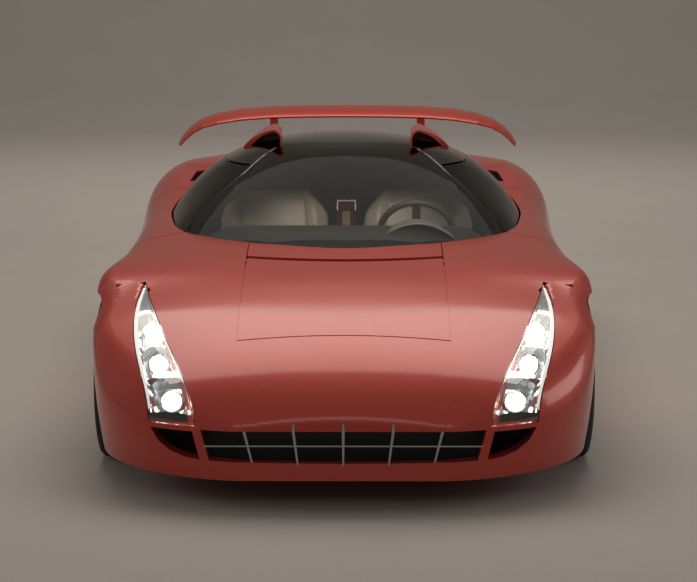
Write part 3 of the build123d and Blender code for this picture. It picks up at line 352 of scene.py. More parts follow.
# %% Finish of each CAD piece
SIDES = ("left", "right")
FINISHES = (
    (paint, "front_clip front_lid cowl_panel door_ sill_ rear_clip roof_scoop_ rear_wing"),
    (gloss_black, "engine_cover canopy_frame"),
    (screen_glass, "windscreen"),
    (side_glass, "door_glass_"),
    (satin_bar, "grille_bars"),
    (trim_plastic, "nose_duct"),
    (reflector, "headlamp_"),
    (lamp_cover, "lamp_lens_"),
    (carpet, "cabin_tub"),
    (red_acrylic, "tail_lamps"),
    (stainless, "exhaust"),
    (cast_alloy, "engine_block knuckle_ rear_upright_"),
    (forged_steel, "front_arms_"),
    (dash_leather, "dashboard"),
    (wheel_leather, "steering_wheel"),
    (spine_leather, "centre_spine"),
    (seat_leather, "seat_"),
    (tyre_rubber, "tyre_front_ tyre_rear_"),
)
finish_of = {
    name + side: finish
    for finish, names in FINISHES
    for name in names.split()
    for side in (SIDES if name.endswith("_") else ("",))
}
for wheel in [f"{end}_{side}" for end in ("front", "rear") for side in SIDES]:
    finish_of[f"rim_{wheel}"] = wheel_metal(f"alloy_and_disc_{wheel}", f"rim_{wheel}")
for name, finish in finish_of.items():
    nodes[name].data.materials.clear()
    nodes[name].data.materials.append(finish)
print("pieces without a finish:", sorted(set(nodes) - set(finish_of)))

# %% [markdown]
# ## Making pieces in mesh code
#
# Nearly every small part is one of three shapes: rows of points skinned into a surface, an outline
# turned about an axis, or a line given thickness. Each helper returns plain points and faces, and
# `new_piece` turns those into an object that rides on a CAD body, so it follows doors and wheels.

# %% Helpers for pieces
def placed(name, body, data):
    """An object that rides on a CAD body."""
    piece = bpy.data.objects.new(name, data)
    bpy.context.scene.collection.objects.link(piece)
    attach(piece, body)
    return piece


def new_piece(name, body, finish, shape, crease=35):
    """A mesh piece from (points, faces) that rides on a body; edges sharper than crease stay crisp."""
    points, faces = shape
    shell = bmesh.new()
    made = [shell.verts.new(p) for p in points]
    for face in faces:
        corners = list(dict.fromkeys(made[i] for i in face))
        if len(corners) > 2 and not shell.faces.get(corners):
            shell.faces.new(corners)
    bmesh.ops.remove_doubles(shell, verts=shell.verts, dist=1e-6)
    bmesh.ops.recalc_face_normals(shell, faces=shell.faces)
    mesh = bpy.data.meshes.new(name)
    shell.to_mesh(mesh)
    shell.free()
    mesh.shade_smooth()
    mesh.set_sharp_from_angle(angle=math.radians(crease))
    mesh.materials.append(finish)
    return placed(name, body, mesh)


def new_pair(label, body, finish, shape, crease=35):
    """The left piece and its mirror image; a body's name that ends in an underscore gets the side."""
    return [
        new_piece(
            f"{label}_{side}",
            body + side if body.endswith("_") else body,
            finish,
            shape if side == "left" else other_side(shape),
            crease,
        )
        for side in SIDES
    ]


def skin_rows(rows, closed=False, ring=False, ends=False):
    """Faces between rows of points. closed joins a row's ends, ring joins last row to first, ends caps."""
    across = len(rows[0])
    points = [p for row in rows for p in row]
    faces = []
    for r in range(len(rows) if ring else len(rows) - 1):
        after = (r + 1) % len(rows)
        for c in range(across if closed else across - 1):
            d = (c + 1) % across
            faces.append((r * across + c, r * across + d, after * across + d, after * across + c))
    if ends:
        faces.append(tuple(range(across)))
        faces.append(tuple(range((len(rows) - 1) * across, len(rows) * across)))
    return points, faces


def turned(profile, centre, axis, steps=48):
    """A profile of (along, radius) points turned about an axis through the centre."""
    along = Vector(axis).normalized()
    side = along.orthogonal().normalized()
    up = along.cross(side)
    rows = []
    for k in range(steps):
        turn = 2 * math.pi * k / steps
        out = side * math.cos(turn) + up * math.sin(turn)
        rows.append([Vector(centre) + along * a + out * max(r, 0) for a, r in profile])
    return skin_rows(rows, ring=True)


def together(*shapes):
    """Several (points, faces) shapes as one."""
    points, faces = [], []
    for more_points, more_faces in shapes:
        start = len(points)
        points += more_points
        faces += [tuple(start + i for i in face) for face in more_faces]
    return points, faces


def other_side(shape):
    """The same shape on the other side of the car."""
    points, faces = shape
    return [Vector((-p[0], p[1], p[2])) for p in points], [tuple(reversed(face)) for face in faces]


def line(name, body, finish, points, radius):
    """A round line through points: piping, a seal or a thin wire."""
    curve = bpy.data.curves.new(name, "CURVE")
    curve.dimensions = "3D"
    curve.bevel_depth = radius
    curve.bevel_resolution = 2
    curve.resolution_u = 3
    curve.use_fill_caps = True
    spline = curve.splines.new("NURBS")
    spline.points.add(len(points) - 1)
    for target, point in zip(spline.points, points):
        target.co = (*point, 1)
    spline.order_u = 3
    spline.use_endpoint_u = True
    curve.materials.append(finish)
    return placed(name, body, curve)


print("helpers ready")

# %% [markdown]
# Trim follows the body's curved skin. A ray dropped straight down on the CAD pieces finds the skin's
# height and its facing direction at any place in plan, and the trim is laid a chosen distance off it.
# Places are given as designers give them: a station is a distance behind the nose, in millimetres.

# %% Finding the skin
STATION_ZERO = -2.2
DOWN = Vector((0, 0, -1))


def at_station(x, station, z):
    """The point at a distance from the centreline, a station and a height, in millimetres."""
    return Vector((x / 1000, STATION_ZERO + station / 1000, z / 1000))


def skin_tree(*names):
    """A search tree over some CAD pieces."""
    points, faces = [], []
    for name in names:
        mesh = nodes[name].data
        start = len(points)
        points += [v.co.copy() for v in mesh.vertices]
        faces += [[start + i for i in polygon.vertices] for polygon in mesh.polygons]
    return BVHTree.FromPolygons(points, faces)


def sunk(tree, x, station, depth):
    """A point this many millimetres under the skin, or None beside it."""
    place, normal, _, _ = tree.ray_cast(at_station(x, station, 2000), DOWN)
    if place is None:
        return None
    normal = normal if normal.z > 0 else -normal
    return place - normal * depth / 1000


def skin_height(tree, x, station):
    """Height of the skin in millimetres, or None beside it."""
    place, _, _, _ = tree.ray_cast(at_station(x, station, 1500), DOWN)
    return None if place is None else place.z * 1000


def between(value, low, high):
    """How far a value is from low, 0, to high, 1, easing in and out."""
    part = min(max((value - low) / (high - low), 0), 1)
    return part * part * (3 - 2 * part)


def arc_points(first, middle, last, count):
    """Points along the circle through three points of a plan."""
    (ax, ay), (bx, by), (cx, cy) = first, middle, last
    d = 2 * (ax * (by - cy) + bx * (cy - ay) + cx * (ay - by))
    a, b, c = (x * x + y * y for x, y in (first, middle, last))
    ux = (a * (by - cy) + b * (cy - ay) + c * (ay - by)) / d
    uy = (a * (cx - bx) + b * (ax - cx) + c * (bx - ax)) / d
    radius = math.hypot(ax - ux, ay - uy)
    start, end = (math.atan2(y - uy, x - ux) for x, y in (first, last))
    sweep = (end - start + math.pi) % (2 * math.pi) - math.pi
    turns = [start + sweep * k / (count - 1) for k in range(count)]
    return [(ux + radius * math.cos(t), uy + radius * math.sin(t)) for t in turns]


print("skin of the lid at station 700:", round(skin_height(skin_tree("front_lid"), 0, 700)), "mm high")

# %% [markdown]
# ## Headlamps
#
# Under each clear cover lies a deep silvery bowl with three round units, all lit. The bowl is pressed
# from sheet and vacuum coated: its walls drop steeply from the cover's edge to a floor that follows
# the skin. Rows of points run between the lamp's two edges, and each point sinks below the cover by a
# depth that grows with its distance from the edge.

# %% The lamp's edges in plan
LAMP_TIP = (787, 915)
LAMP_INNER = arc_points((534, 46), (672, 430), LAMP_TIP, 60)
LAMP_OUTER = arc_points((712, 128), (803, 525), LAMP_TIP, 60)
# Columns: distance from the centreline, station, radius, depth under the skin.
LAMP_UNITS = [(636, 122, 35, 27), (694, 306, 36, 32), (738, 548, 33, 44)]
RIM_DEPTH, FLOOR_DEPTH, TIP_DEPTH, WALL_WIDTH = 6.5, 55, 7, 13
WALL_STEPS = [0, 1.5, 4, 8, 11, 13]
lens_skin = skin_tree("lamp_lens_left")


def bowl_depth(station, edge):
    """Depth of the bowl: deep behind the units, shallow towards the tip, shallow at its edges."""
    floor = TIP_DEPTH + (FLOOR_DEPTH - TIP_DEPTH) * between(640 - station, 0, 70)
    return RIM_DEPTH + (floor - RIM_DEPTH) * between(edge, 0, WALL_WIDTH)


# %% Bowl
def row_offsets(span):
    """Steps across the bowl: close together on its two walls, even on its floor."""
    near = [step for step in WALL_STEPS if step < span * 0.35]
    spare = len(WALL_STEPS) - len(near)
    floor = [span * (0.35 + 0.3 * j / 6) for j in range(7)]
    far = [span - step for step in reversed(near)]
    return near + [span * 0.35] * spare + floor + [span * 0.65] * spare + far


def lamp_bowl():
    """Rows across the bowl, from its nose end to just before its tip."""
    rows = []
    for (ix, iy), (ox, oy) in zip(LAMP_INNER[:-2], LAMP_OUTER[:-2]):
        width = math.hypot(ox - ix, oy - iy)
        inner_gap, outer_gap = min(5, width * 0.15), min(9, width * 0.2)
        span = width - inner_gap - outer_gap
        foot = math.hypot(ix - LAMP_INNER[0][0], iy - LAMP_INNER[0][1]) - 6
        row = []
        for offset in row_offsets(span):
            part = (offset + inner_gap) / width
            x, station = ix + (ox - ix) * part, iy + (oy - iy) * part
            row.append(sunk(lens_skin, x, station, bowl_depth(station, min(offset, span - offset, foot))))
        if all(row):
            rows.append(row)
    return skin_rows(rows)


for side, bowl in zip(SIDES, new_pair("lamp_bowl", "chassis", reflector, lamp_bowl())):
    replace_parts(bowl, f"headlamp_{side}")
    nodes[f"lamp_lens_{side}"].visible_shadow = False
print("bowl points a side:", len(bowl.data.vertices))

# %% [markdown]
# The units are turned parts: a bright ring around a glowing dome, facing forward and a little up. The
# glow is a surface that gives off light, so the bowl around it brightens by itself. A strip of white
# plastic with a weak glow, a painted highlight, edges the cover's outer side, and a thin aluminium line its
# inner side.

# %% Lamp glow, and a painted glow on the lamp's rim
def edge_lit_acrylic():
    """White plastic with a weak glow that paints a highlight; it is no lamp."""
    material, tree, shader = new_finish("edge_lit_acrylic", "#f4f4f2", Roughness=0.25)
    vary(tree, shader, "#f6f6f4", "#e9e9e6", 3, (0.2, 0.35), 0.01)
    # This weak emission is a painted highlight on the rim, not a lamp.
    feed(tree, shader, {"Emission Color": hex_to_linear("#fffdf8"), "Emission Strength": 0.35})
    return material


def lamp_glow():
    """Bright, with the facets of a patterned lamp."""
    material, tree, shader = new_finish("halogen_lamp_glow", "#fffaf0", Roughness=0.2)
    place = add_node(tree, "TexCoord").outputs["Object"]
    cells = add_node(tree, "TexVoronoi", {"Vector": place, "Scale": per_metre(7)})
    power = add_node(tree, "MapRange", {"Value": cells.outputs["Distance"], "To Min": 9.0, "To Max": 6.0})
    light = {"Emission Color": hex_to_linear("#fff8ee"), "Emission Strength": power.outputs["Result"]}
    feed(tree, shader, light)
    return material


rim_painted_glow, glow = edge_lit_acrylic(), lamp_glow()
print("lit materials:", rim_painted_glow.name, glow.name)


# %% Rings, domes and bezels
UNIT_FACING = Vector((0.0, -1.0, 0.18)).normalized()
RING_PROFILE = [(-30, -4), (-12, 5), (0, 6), (3, 4), (2, 1), (-6, -2)]  # along, beyond the radius


def lamp_unit(x, station, radius, depth):
    """Ring and dome of one lamp unit, facing forward and a little up."""
    centre = sunk(lens_skin, x, station, depth)
    ring = turned([(a / 1000, (radius + out) / 1000) for a, out in RING_PROFILE], centre, UNIT_FACING)
    swell = [math.radians(10 * k) for k in range(10)]
    size = (radius - 3) / 1000
    dome = turned([(size * 0.6 * math.sin(t), size * math.cos(t)) for t in swell], centre, UNIT_FACING)
    return ring, dome


def edge_band(edge, inward, widths, height, inset=3.6):
    """A raised band along a plan line: flat on top, its rims sunk into the skin."""
    rows = []
    for k, (x, station) in enumerate(edge):
        before, after = edge[max(k - 1, 0)], edge[min(k + 1, len(edge) - 1)]
        length = math.hypot(after[0] - before[0], after[1] - before[1])
        nx, ny = -(after[1] - before[1]) / length * inward, (after[0] - before[0]) / length * inward
        part = k / (len(edge) - 1)
        width = widths[0] + (widths[1] - widths[0]) * math.sin(math.pi * part) ** 0.7
        steps = [(inset, -1.0), (inset + 0.6, height), (inset + width - 0.6, height), (inset + width, -1.0)]
        row = [sunk(lens_skin, x + nx * off, station + ny * off, -lift) for off, lift in steps]
        if all(row):
            rows.append(row)
    return skin_rows(rows, ends=True)


rings, domes = zip(*[lamp_unit(*row) for row in LAMP_UNITS])
# The outer bezel glows weakly: a painted highlight.
new_pair("lamp_outer_bezel", "chassis", rim_painted_glow, edge_band(LAMP_OUTER, 1, (5, 15), 1.2))
new_pair("lamp_inner_bezel", "chassis", bright_trim, edge_band(LAMP_INNER, -1, (3, 4.5), 1.0))
new_pair("lamp_rings", "chassis", bright_trim, together(*rings))
new_pair("lamp_domes", "chassis", glow, together(*domes))
print("units a side:", len(rings))


# %% [markdown]
# Low ribs part the bowl into three and catch the light as bright lines. Each one is a thin wall that
# stands on the floor of the bowl and ends under the cover.

# %% Bowl ribs
RIB_FOOT, RIB_TOP, RIB_THICK = 56, 22, 3  # depths under the cover, and thickness


def bowl_rib(first, last):
    """A wall across the bowl between two plan points."""
    rows = []
    for k in range(13):
        x, station = (a + (b - a) * k / 12 for a, b in zip(first, last))
        corners = [(-1, RIB_FOOT), (-1, RIB_TOP), (1, RIB_TOP), (1, RIB_FOOT)]
        row = [sunk(lens_skin, x, station + sign * RIB_THICK / 2, depth) for sign, depth in corners]
        if all(row):
            rows.append(row)
    return skin_rows(rows, closed=True, ends=True)


ribs = together(bowl_rib((600, 205), (736, 232)), bowl_rib((676, 402), (778, 420)))
new_pair("lamp_ribs", "chassis", reflector, ribs)
print("rib points a side:", len(ribs[0]))

# %% [markdown]
# ## Front wings over the wheels
#
# On the real car the skin of the front wing runs unbroken over the wheelhouse. Here the CAD wheelhouse
# stands a few millimetres proud of the skin just ahead of the wheel, so the clip is redrawn: a copy of
# the CAD mesh without the proud faces, and a fair panel over the place. The panel is found as a body
# maker fairs a wing: the section's shoulder and crown arcs give the form, and a smooth correction,
# measured on good skin ahead of and behind the place, makes it meet that skin.

# %% The wing's own curves
# Columns: station, half width at the waist, height of the waist, shoulder radius, height on the centreline.
WING_SECTIONS = [
    (500, 950, 462, 105, 648),
    (700, 976, 535, 95, 702),
    (950, 990, 618, 85, 748),
    (1300, 994, 630, 110, 795),
]
HEART = (800, 470)  # the line inside the wing that reaches are measured from: x, height
FRONT_AXLE = (930, 320)  # station, height
OPENING_RADIUS = 330
GOOD_SKIN = (684, 716, 926, 950)
clip_skin = skin_tree("front_clip")
corrections = {}


def through(samples, station):
    """Value at a station of the smooth curve through (station, value) samples."""
    total = 0.0
    for s, value in samples:
        share = 1.0
        for other, _ in samples:
            if other != s:
                share *= (station - other) / (s - other)
        total += value * share
    return total


def drawn_reach(station, angle):
    """Distance from the wing's heart line to its drawn section, in millimetres."""
    half, waist, shoulder, top = (
        through([(row[0], row[column]) for row in WING_SECTIONS], station) for column in (1, 2, 3, 4)
    )
    rise, centre = top - waist, half - shoulder
    crown = (centre**2 + rise**2 - shoulder**2) / (2 * (rise - shoulder))
    join = math.atan2(waist - (top - crown), centre)
    out = (math.cos(angle), math.sin(angle))

    def meet(cx, cz, radius):
        dx, dz = HEART[0] - cx, HEART[1] - cz
        b = dx * out[0] + dz * out[1]
        return -b + math.sqrt(max(b * b - (dx * dx + dz * dz - radius * radius), 0))

    reach = meet(centre, waist, shoulder)
    x, z = HEART[0] + out[0] * reach, HEART[1] + out[1] * reach
    return meet(0, top - crown, crown) if math.atan2(z - waist, x - centre) > join else reach


def measured_reach(station, angle):
    """Distance from the heart line to the CAD skin, found from outside, in millimetres."""
    out = Vector((math.cos(angle), 0, math.sin(angle)))
    heart = at_station(HEART[0], station, HEART[1])
    place, _, _, _ = clip_skin.ray_cast(heart + out * 0.6, -out)
    return (place - heart).length * 1000


def fair_reach(station, angle):
    """The drawn section, corrected to meet the good skin on both sides."""
    key = round(math.degrees(max(angle, math.radians(54))))
    if key not in corrections:
        at = math.radians(key)
        corrections[key] = [(s, measured_reach(s, at) - drawn_reach(s, at)) for s in GOOD_SKIN]
    return drawn_reach(station, angle) + through(corrections[key], station)


def wing_point(station, angle, lift=0.0, inward=0.0):
    """A point off the fair wing; lift and inward are in millimetres."""
    reach = fair_reach(station, angle) + lift
    x = HEART[0] + reach * math.cos(angle) - inward
    return at_station(x, station, HEART[1] + reach * math.sin(angle))


sample = (800, math.radians(70))
print("correction in mm:", round(fair_reach(*sample) - drawn_reach(*sample), 1))


# %% Fair panel of the wing
PANEL_START, PANEL_END, PANEL_STEP = 684, 952, 6
spans = {}


def lamp_side(station):
    """Distance from the centreline of the lamp's outer edge."""
    for (x0, s0), (x1, s1) in zip(LAMP_OUTER, LAMP_OUTER[1:]):
        if s0 <= station <= s1:
            return x0 + (x1 - x0) * (station - s0) / (s1 - s0)
    return LAMP_TIP[0]


def angle_where(test):
    """The first angle, from the side up to the top, that passes a test."""
    for tenth in range(240, 1100, 2):
        if test(math.radians(tenth / 10)):
            return math.radians(tenth / 10)
    return math.radians(110)


def panel_span(station):
    """The first and last angle that the panel covers: from the wheel opening to the lamp."""
    at = round(station / PANEL_STEP) * PANEL_STEP
    if at not in spans:
        sill = FRONT_AXLE[1] + math.sqrt(max(OPENING_RADIUS**2 - (at - FRONT_AXLE[0]) ** 2, 0))
        inner = lamp_side(at) + 3.4
        spans[at] = (
            angle_where(lambda a: HEART[1] + fair_reach(at, a) * math.sin(a) >= sill),
            angle_where(lambda a: HEART[0] + fair_reach(at, a) * math.cos(a) <= inner),
        )
    return spans[at]


wing_rows = []
for station in range(PANEL_START, PANEL_END + 1, PANEL_STEP):
    low, high = panel_span(station)
    end = min((station - PANEL_START) / 18, (PANEL_END - station) / 18, 1)
    lift = -0.5 + 0.8 * max(end, 0)
    row = [wing_point(station, low, lift - 1, 14), wing_point(station, low, lift - 1, 2)]
    row += [wing_point(station, low + (high - low) * k / 22, lift) for k in range(23)]
    row += [wing_point(station, high, lift - 7)]
    wing_rows.append(row)
new_pair("wing_panel", "chassis", paint, skin_rows(wing_rows), crease=60)
print("wing panel rows:", len(wing_rows))


# %% Clip without the proud faces
def is_hidden(face):
    """True for a face under the panel, or one that stands over the lamp's tip."""
    c = face.calc_center_median()
    station, x, z = (c.y - STATION_ZERO) * 1000, abs(c.x) * 1000, c.z * 1000
    if not (704 < station < 908 and x > 760 and z > 560):
        return False
    angle = math.atan2(z - HEART[1], x - HEART[0])
    proud = math.hypot(x - HEART[0], z - HEART[1]) - fair_reach(station, angle)
    low, high = panel_span(station)
    under_panel = low < angle < high - 0.01 and proud > -5
    over_lamp = angle >= high - 0.01 and x > 778 and proud > 0.3
    return under_panel or over_lamp


def clip_body():
    """A copy of the clip's mesh without the hidden faces."""
    mesh = nodes["front_clip"].data.copy()
    shell = bmesh.new()
    shell.from_mesh(mesh)
    proud = [face for face in shell.faces if is_hidden(face)]
    bmesh.ops.delete(shell, geom=proud, context="FACES")
    shell.to_mesh(mesh)
    shell.free()
    return mesh, len(proud)


clip_mesh, taken = clip_body()
clip_mesh.materials.clear()
clip_mesh.materials.append(paint)
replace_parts(placed("front_body", "chassis", clip_mesh), "front_clip")
print("proud faces taken off:", taken)

# %% [markdown]
# ## Seats
#
# Each seat is three padded parts in leather over foam: a cushion, a back with raised bolsters at its
# sides, and a darker headrest edged with pale piping. A pad starts as rings of points, a little
# smaller than the space it has. A cloth simulation then blows it up like a balloon for twenty frames,
# which rounds its corners the way foam fills a cover, and the seams are pressed in afterwards.

# %% Padding
VOXEL, PRESSURE, MOVE_LIMIT = 0.009, 4.0, 0.010


def bake(piece):
    """Replace the piece's mesh by what its modifiers make of it."""
    made = bpy.data.meshes.new_from_object(piece.evaluated_get(bpy.context.evaluated_depsgraph_get()))
    piece.modifiers.clear()
    before, piece.data = piece.data, made
    bpy.data.meshes.remove(before)
    made.name = piece.name


def blown(piece):
    """Foam fills the cover: cloth with pressure inside, each point moving at most a set distance."""
    bpy.context.view_layer.objects.active = piece
    remesh = piece.modifiers.new("even_mesh", "REMESH")
    remesh.mode = "VOXEL"
    remesh.voxel_size = VOXEL
    bpy.context.view_layer.update()
    bake(piece)
    rests = [v.co.copy() for v in piece.data.vertices]
    cloth = piece.modifiers.new("foam", "CLOTH")
    cloth.settings.use_pressure = True
    cloth.settings.uniform_pressure_force = PRESSURE
    cloth.settings.effector_weights.gravity = 0
    for frame_number in range(1, 21):
        bpy.context.scene.frame_set(frame_number)
    bake(piece)
    bpy.context.scene.frame_set(1)
    for vertex, rest in zip(piece.data.vertices, rests):
        step = vertex.co - rest
        if step.length > MOVE_LIMIT:
            vertex.co = rest + step * (MOVE_LIMIT / step.length)
    smooth = piece.modifiers.new("cover", "SUBSURF")
    smooth.levels = smooth.render_levels = 1
    bake(piece)
    piece.data.shade_smooth()
    return piece


def press_seam(piece, seam, width, depth):
    """A sewn line: the cover sinks along a row of points."""
    tree = KDTree(len(seam))
    for index, point in enumerate(seam):
        tree.insert(point, index)
    tree.balance()
    for vertex in piece.data.vertices:
        _, _, away = tree.find(vertex.co)
        if away < 3 * width:
            vertex.co -= vertex.normal * depth * math.exp(-((away / width) ** 2))


def mirror_copy(piece, name):
    """The same pad for the other side of the car."""
    mesh = piece.data.copy()
    mesh.transform(Matrix.Diagonal((-1, 1, 1, 1)))
    mesh.flip_normals()
    return placed(name, "chassis", mesh)


# %% Seat shapes
SEAT_X, SEAT_FOOT, PAN = 338, 2390, 180
LEAN = math.radians(20)


def on_back(u, v, w):
    """A point of the seat back: u across, v up the back, w ahead of its front plane."""
    station = SEAT_FOOT + v * math.sin(LEAN) - w * math.cos(LEAN)
    return at_station(SEAT_X + u, station, PAN + v * math.cos(LEAN) + w * math.sin(LEAN))


def pad_ring(half, front, rear, place, bolster=(0, 0)):
    """A rounded ring across a pad; bolster is how far its sides stand up, and from where."""
    ring = []
    middle = (front + rear) / 2
    for k in range(40):
        turn = 2 * math.pi * k / 40
        c, s = math.cos(turn), math.sin(turn)
        u = half * math.copysign(abs(c) ** 0.55, c)
        if s > 0:
            face = front - bolster[0] * (1 - between(abs(u), bolster[1] - 25, bolster[1] + 45))
            w = middle + (face - middle) * abs(s) ** 0.5
        else:
            w = middle + (rear - middle) * abs(s) ** 0.5
        ring.append(place(u, w))
    return ring


def back_ring(v):
    """The back at a height: it narrows and thins near its top."""
    thin = 12 * between(v, 690, 752)
    half = 262 - 100 * between(v, 610, 775)
    return pad_ring(half, -6 - thin, -112 + thin, lambda u, w: on_back(u, v, w), (30, 150))


def cushion_ring(station):
    """The cushion at a station: it falls to the back and rounds over in front."""
    top = 322 - 62 * between(station, 1990, 2390) - 26 * (1 - between(station, 1950, 1992))
    return pad_ring(246, top, 187, lambda u, w: at_station(SEAT_X + u, station, w), (20, 150))


def headrest_ring(v):
    """The headrest at a height: it narrows in two steps."""
    half = 148 - 22 * between(v, 770, 835) - 44 * between(v, 825, 874)
    return pad_ring(half, -16, -96, lambda u, w: on_back(u, v, w))


print("points in a ring:", len(headrest_ring(800)))


# %% Padded parts
# Columns: name, its rings' function, first place, length, gaps between rings, leather.
PADS = (
    ("seat_cushion", cushion_ring, 1952, 436, 17, seat_leather),
    ("seat_backrest", back_ring, 40, 712, 25, seat_leather),
    ("headrest", headrest_ring, 762, 112, 11, dash_leather),
)
pads = {}
for label, ring, start, length, gaps, cover in PADS:
    shape = skin_rows([ring(start + length * k / gaps) for k in range(gaps + 1)], closed=True, ends=True)
    pads[label] = blown(new_piece(f"{label}_left", "chassis", cover, shape, crease=180))
for side in (1, -1):
    back_seam = [on_back(side * (150 - 18 * between(v, 500, 740)), v, -20) for v in range(40, 735, 4)]
    press_seam(pads["seat_backrest"], back_seam, 0.006, 0.006)
    stations = range(1960, 2385, 4)
    cushion_seam = [at_station(SEAT_X + side * 150, s, 300 - 62 * between(s, 1990, 2390)) for s in stations]
    press_seam(pads["seat_cushion"], cushion_seam, 0.008, 0.006)
for label, pad in pads.items():
    for each in (pad, mirror_copy(pad, f"{label}_right")):
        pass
for side in SIDES:
    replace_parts(bpy.data.objects[f"seat_backrest_{side}"], f"seat_{side}")
print("pad triangles:", {label: len(pad.data.polygons) * 2 for label, pad in pads.items()})

# %% [markdown]
# Piping is a cord sewn into a seam. Pale piping runs round the dark headrest. Its line is laid on the
# finished pad, because only then is the pad's surface known.

# %% Headrest piping
headrest = pads["headrest"].data
headrest_tree = BVHTree.FromPolygons(
    [v.co.copy() for v in headrest.vertices], [tuple(p.vertices) for p in headrest.polygons]
)
half_edge = [(-158, 764), (-150, 790), (-140, 815), (-128, 840), (-108, 862), (-70, 880)]
pipe_points = []
for u, v in half_edge + [(0, 886)] + [(-u, v) for u, v in reversed(half_edge)]:
    near, normal, _, _ = headrest_tree.find_nearest(on_back(u * 1.05, v + 4, -30))
    pipe_points.append(near + normal * 0.001)
for side, sign in (("left", 1), ("right", -1)):
    points = [(sign * p.x, p.y, p.z) for p in pipe_points]
    line(f"headrest_piping_{side}", "chassis", pipe_leather, points, 0.0022)
print("piping points:", len(pipe_points))

# %% [markdown]
# ## Cabin trim
#
# The spine between the seats is wrapped in red leather. A thin white frame edges its top and a bare
# gold strip is let into its face. Behind the seats a grey panel covers the bulkhead, and a leather hood
# shades the dials in front of the driver; its lighter grey is painted light, standing in for the lit top of
# the hood.

# %% Spine strip and frame
SPINE_TOP, SPINE_KNEE = (2640, 812), (2440, 560)  # station, height
SPINE_AHEAD, SPINE_RISE = 0.78, 0.62  # a step off the spine's face, ahead and up


def face_point(x, along, lift=1.0):
    """A point on the spine's front face; along runs from its top edge, 0, to its knee, 1."""
    station, z = (top + (knee - top) * along for top, knee in zip(SPINE_TOP, SPINE_KNEE))
    return at_station(x, station - lift * SPINE_AHEAD, z + lift * SPINE_RISE)


def slab(corners, thick):
    """A flat plate from its corners, thickened along its own normal."""
    normal = (corners[1] - corners[0]).cross(corners[2] - corners[0]).normalized() * (thick / 1000)
    count = len(corners)
    faces = [tuple(range(count)), tuple(range(count, 2 * count))]
    faces += [(k, (k + 1) % count, count + (k + 1) % count, count + k) for k in range(count)]
    return corners + [p + normal for p in corners], faces


strip = slab([face_point(x, a) for x, a in ((-18, 0.19), (18, 0.19), (18, 0.96), (-18, 0.96))], -1.2)
new_piece("spine_inlay", "chassis", gold_inlay, strip)
frame_line = [face_point(x, along, 2) for x, along in ((-42, 0.16), (-42, 0.01), (42, 0.01), (42, 0.16))]
frame_bars = []
for first, last in zip(frame_line, frame_line[1:]):
    along = (last - first).normalized()
    out = Vector((0, -SPINE_AHEAD, SPINE_RISE)) * 0.003
    aside = along.cross(out).normalized() * 0.0028
    ends = (first - along * 0.0028, last + along * 0.0028)
    rows = [[e - aside - out, e - aside + out, e + aside + out, e + aside - out] for e in ends]
    frame_bars.append(skin_rows(rows, closed=True, ends=True))
new_piece("spine_frame", "chassis", white_trim, together(*frame_bars))
print("spine frame bars:", len(frame_bars))


# %% Bulkhead panel and dial hood
def swelling(share, sharpness=0.3):
    """A cushion's rise from its edge, 0 or 1, to its middle."""
    return math.sin(math.pi * share) ** sharpness


BULKHEAD_FOOT, BULKHEAD_TOP, BULKHEAD_STATION = 420, 863, 2849
BULKHEAD_HALF, TOP_NARROWING, CUSHION_DEPTH = 690, 115, 9
panel_rows = []
for k in range(9):
    z = BULKHEAD_FOOT + (BULKHEAD_TOP - BULKHEAD_FOOT) * k / 8
    half = BULKHEAD_HALF - TOP_NARROWING * between(z, 700, BULKHEAD_TOP)
    upright = swelling(min(k + 0.6, 8.4) / 9)
    row = []
    for share in [j / 24 for j in range(25)]:
        station = BULKHEAD_STATION - CUSHION_DEPTH * swelling(share) * upright
        row.append(at_station(half * (2 * share - 1), station, z))
    panel_rows.append(row)
new_piece("bulkhead_panel", "chassis", grey_cloth, skin_rows(panel_rows))

HOOD_X, HOOD_HALF, HOOD_CREST = 305, 152, 848
HOOD_FALL, FALL_WIDTH = 58, 150  # it falls this far, this far from its middle
hood_rows = []
for station, swell in ((1534, 0), (1540, 3), (1600, 4), (1660, 4), (1684, 3), (1689, -1)):
    row = []
    for k in range(25):
        aside = HOOD_HALF * (k / 12 - 1)
        z = HOOD_CREST - HOOD_FALL * (aside / FALL_WIDTH) ** 2 + swell
        row.append(at_station(HOOD_X + aside, station, z))
    hood_rows.append(row)
# Its lighter grey leather is painted light on the hood's top.
new_piece("dial_hood_cover", "chassis", hood_leather_painted_lit, skin_rows(hood_rows))
print("hood rows:", len(hood_rows))

# %% [markdown]
# ## Shut lines and slots
#
# The luggage lid closes on a painted flange a few millimetres under the skin, so its shut lines read
# as thin shadows. The flange is a narrow ribbon that lies in the gap. Each cut in a haunch has a black
# plastic liner, and its black also stands in for the shade deep inside the slot.

# %% Lid flange
GAP_HALF, FLANGE_DEPTH, LOWEST_SKIN = 2.4, 5.0, 480
lid_tree = skin_tree("front_lid")


def lid_front(x):
    """Station of the lid's front edge."""
    station = 900
    while station > 200 and skin_height(lid_tree, x, station) is not None:
        station -= 2
    return station + 1


def flange(path, across):
    """A ribbon along a path of (x, station); across is the step over the gap in x and station."""
    rows = []
    for x, station in path:
        heights = []
        for step in (-7, 7):
            for tree in (lid_tree, clip_skin):
                height = skin_height(tree, x + step * across[0], station + step * across[1])
                if height is not None and height > LOWEST_SKIN:
                    heights.append(height)
        z = sum(heights) / len(heights) - FLANGE_DEPTH
        sides = (-GAP_HALF, GAP_HALF)
        rows.append([at_station(x + step * across[0], station + step * across[1], z) for step in sides])
    return skin_rows(rows)


front_path = [(x, lid_front(x) - 3) for x in range(-390, 391, 30)]
side_path = [(398.6, station) for station in range(int(front_path[0][1]) + 8, 1050, 25)]
side_flange = flange(side_path, (1, 0))
lid_flange = together(flange(front_path, (0, 1)), side_flange, other_side(side_flange))
new_piece("lid_flange", "chassis", paint, lid_flange)
print("lid front edge at stations", front_path[0][1] + 3, "to", max(s for _, s in front_path) + 3)

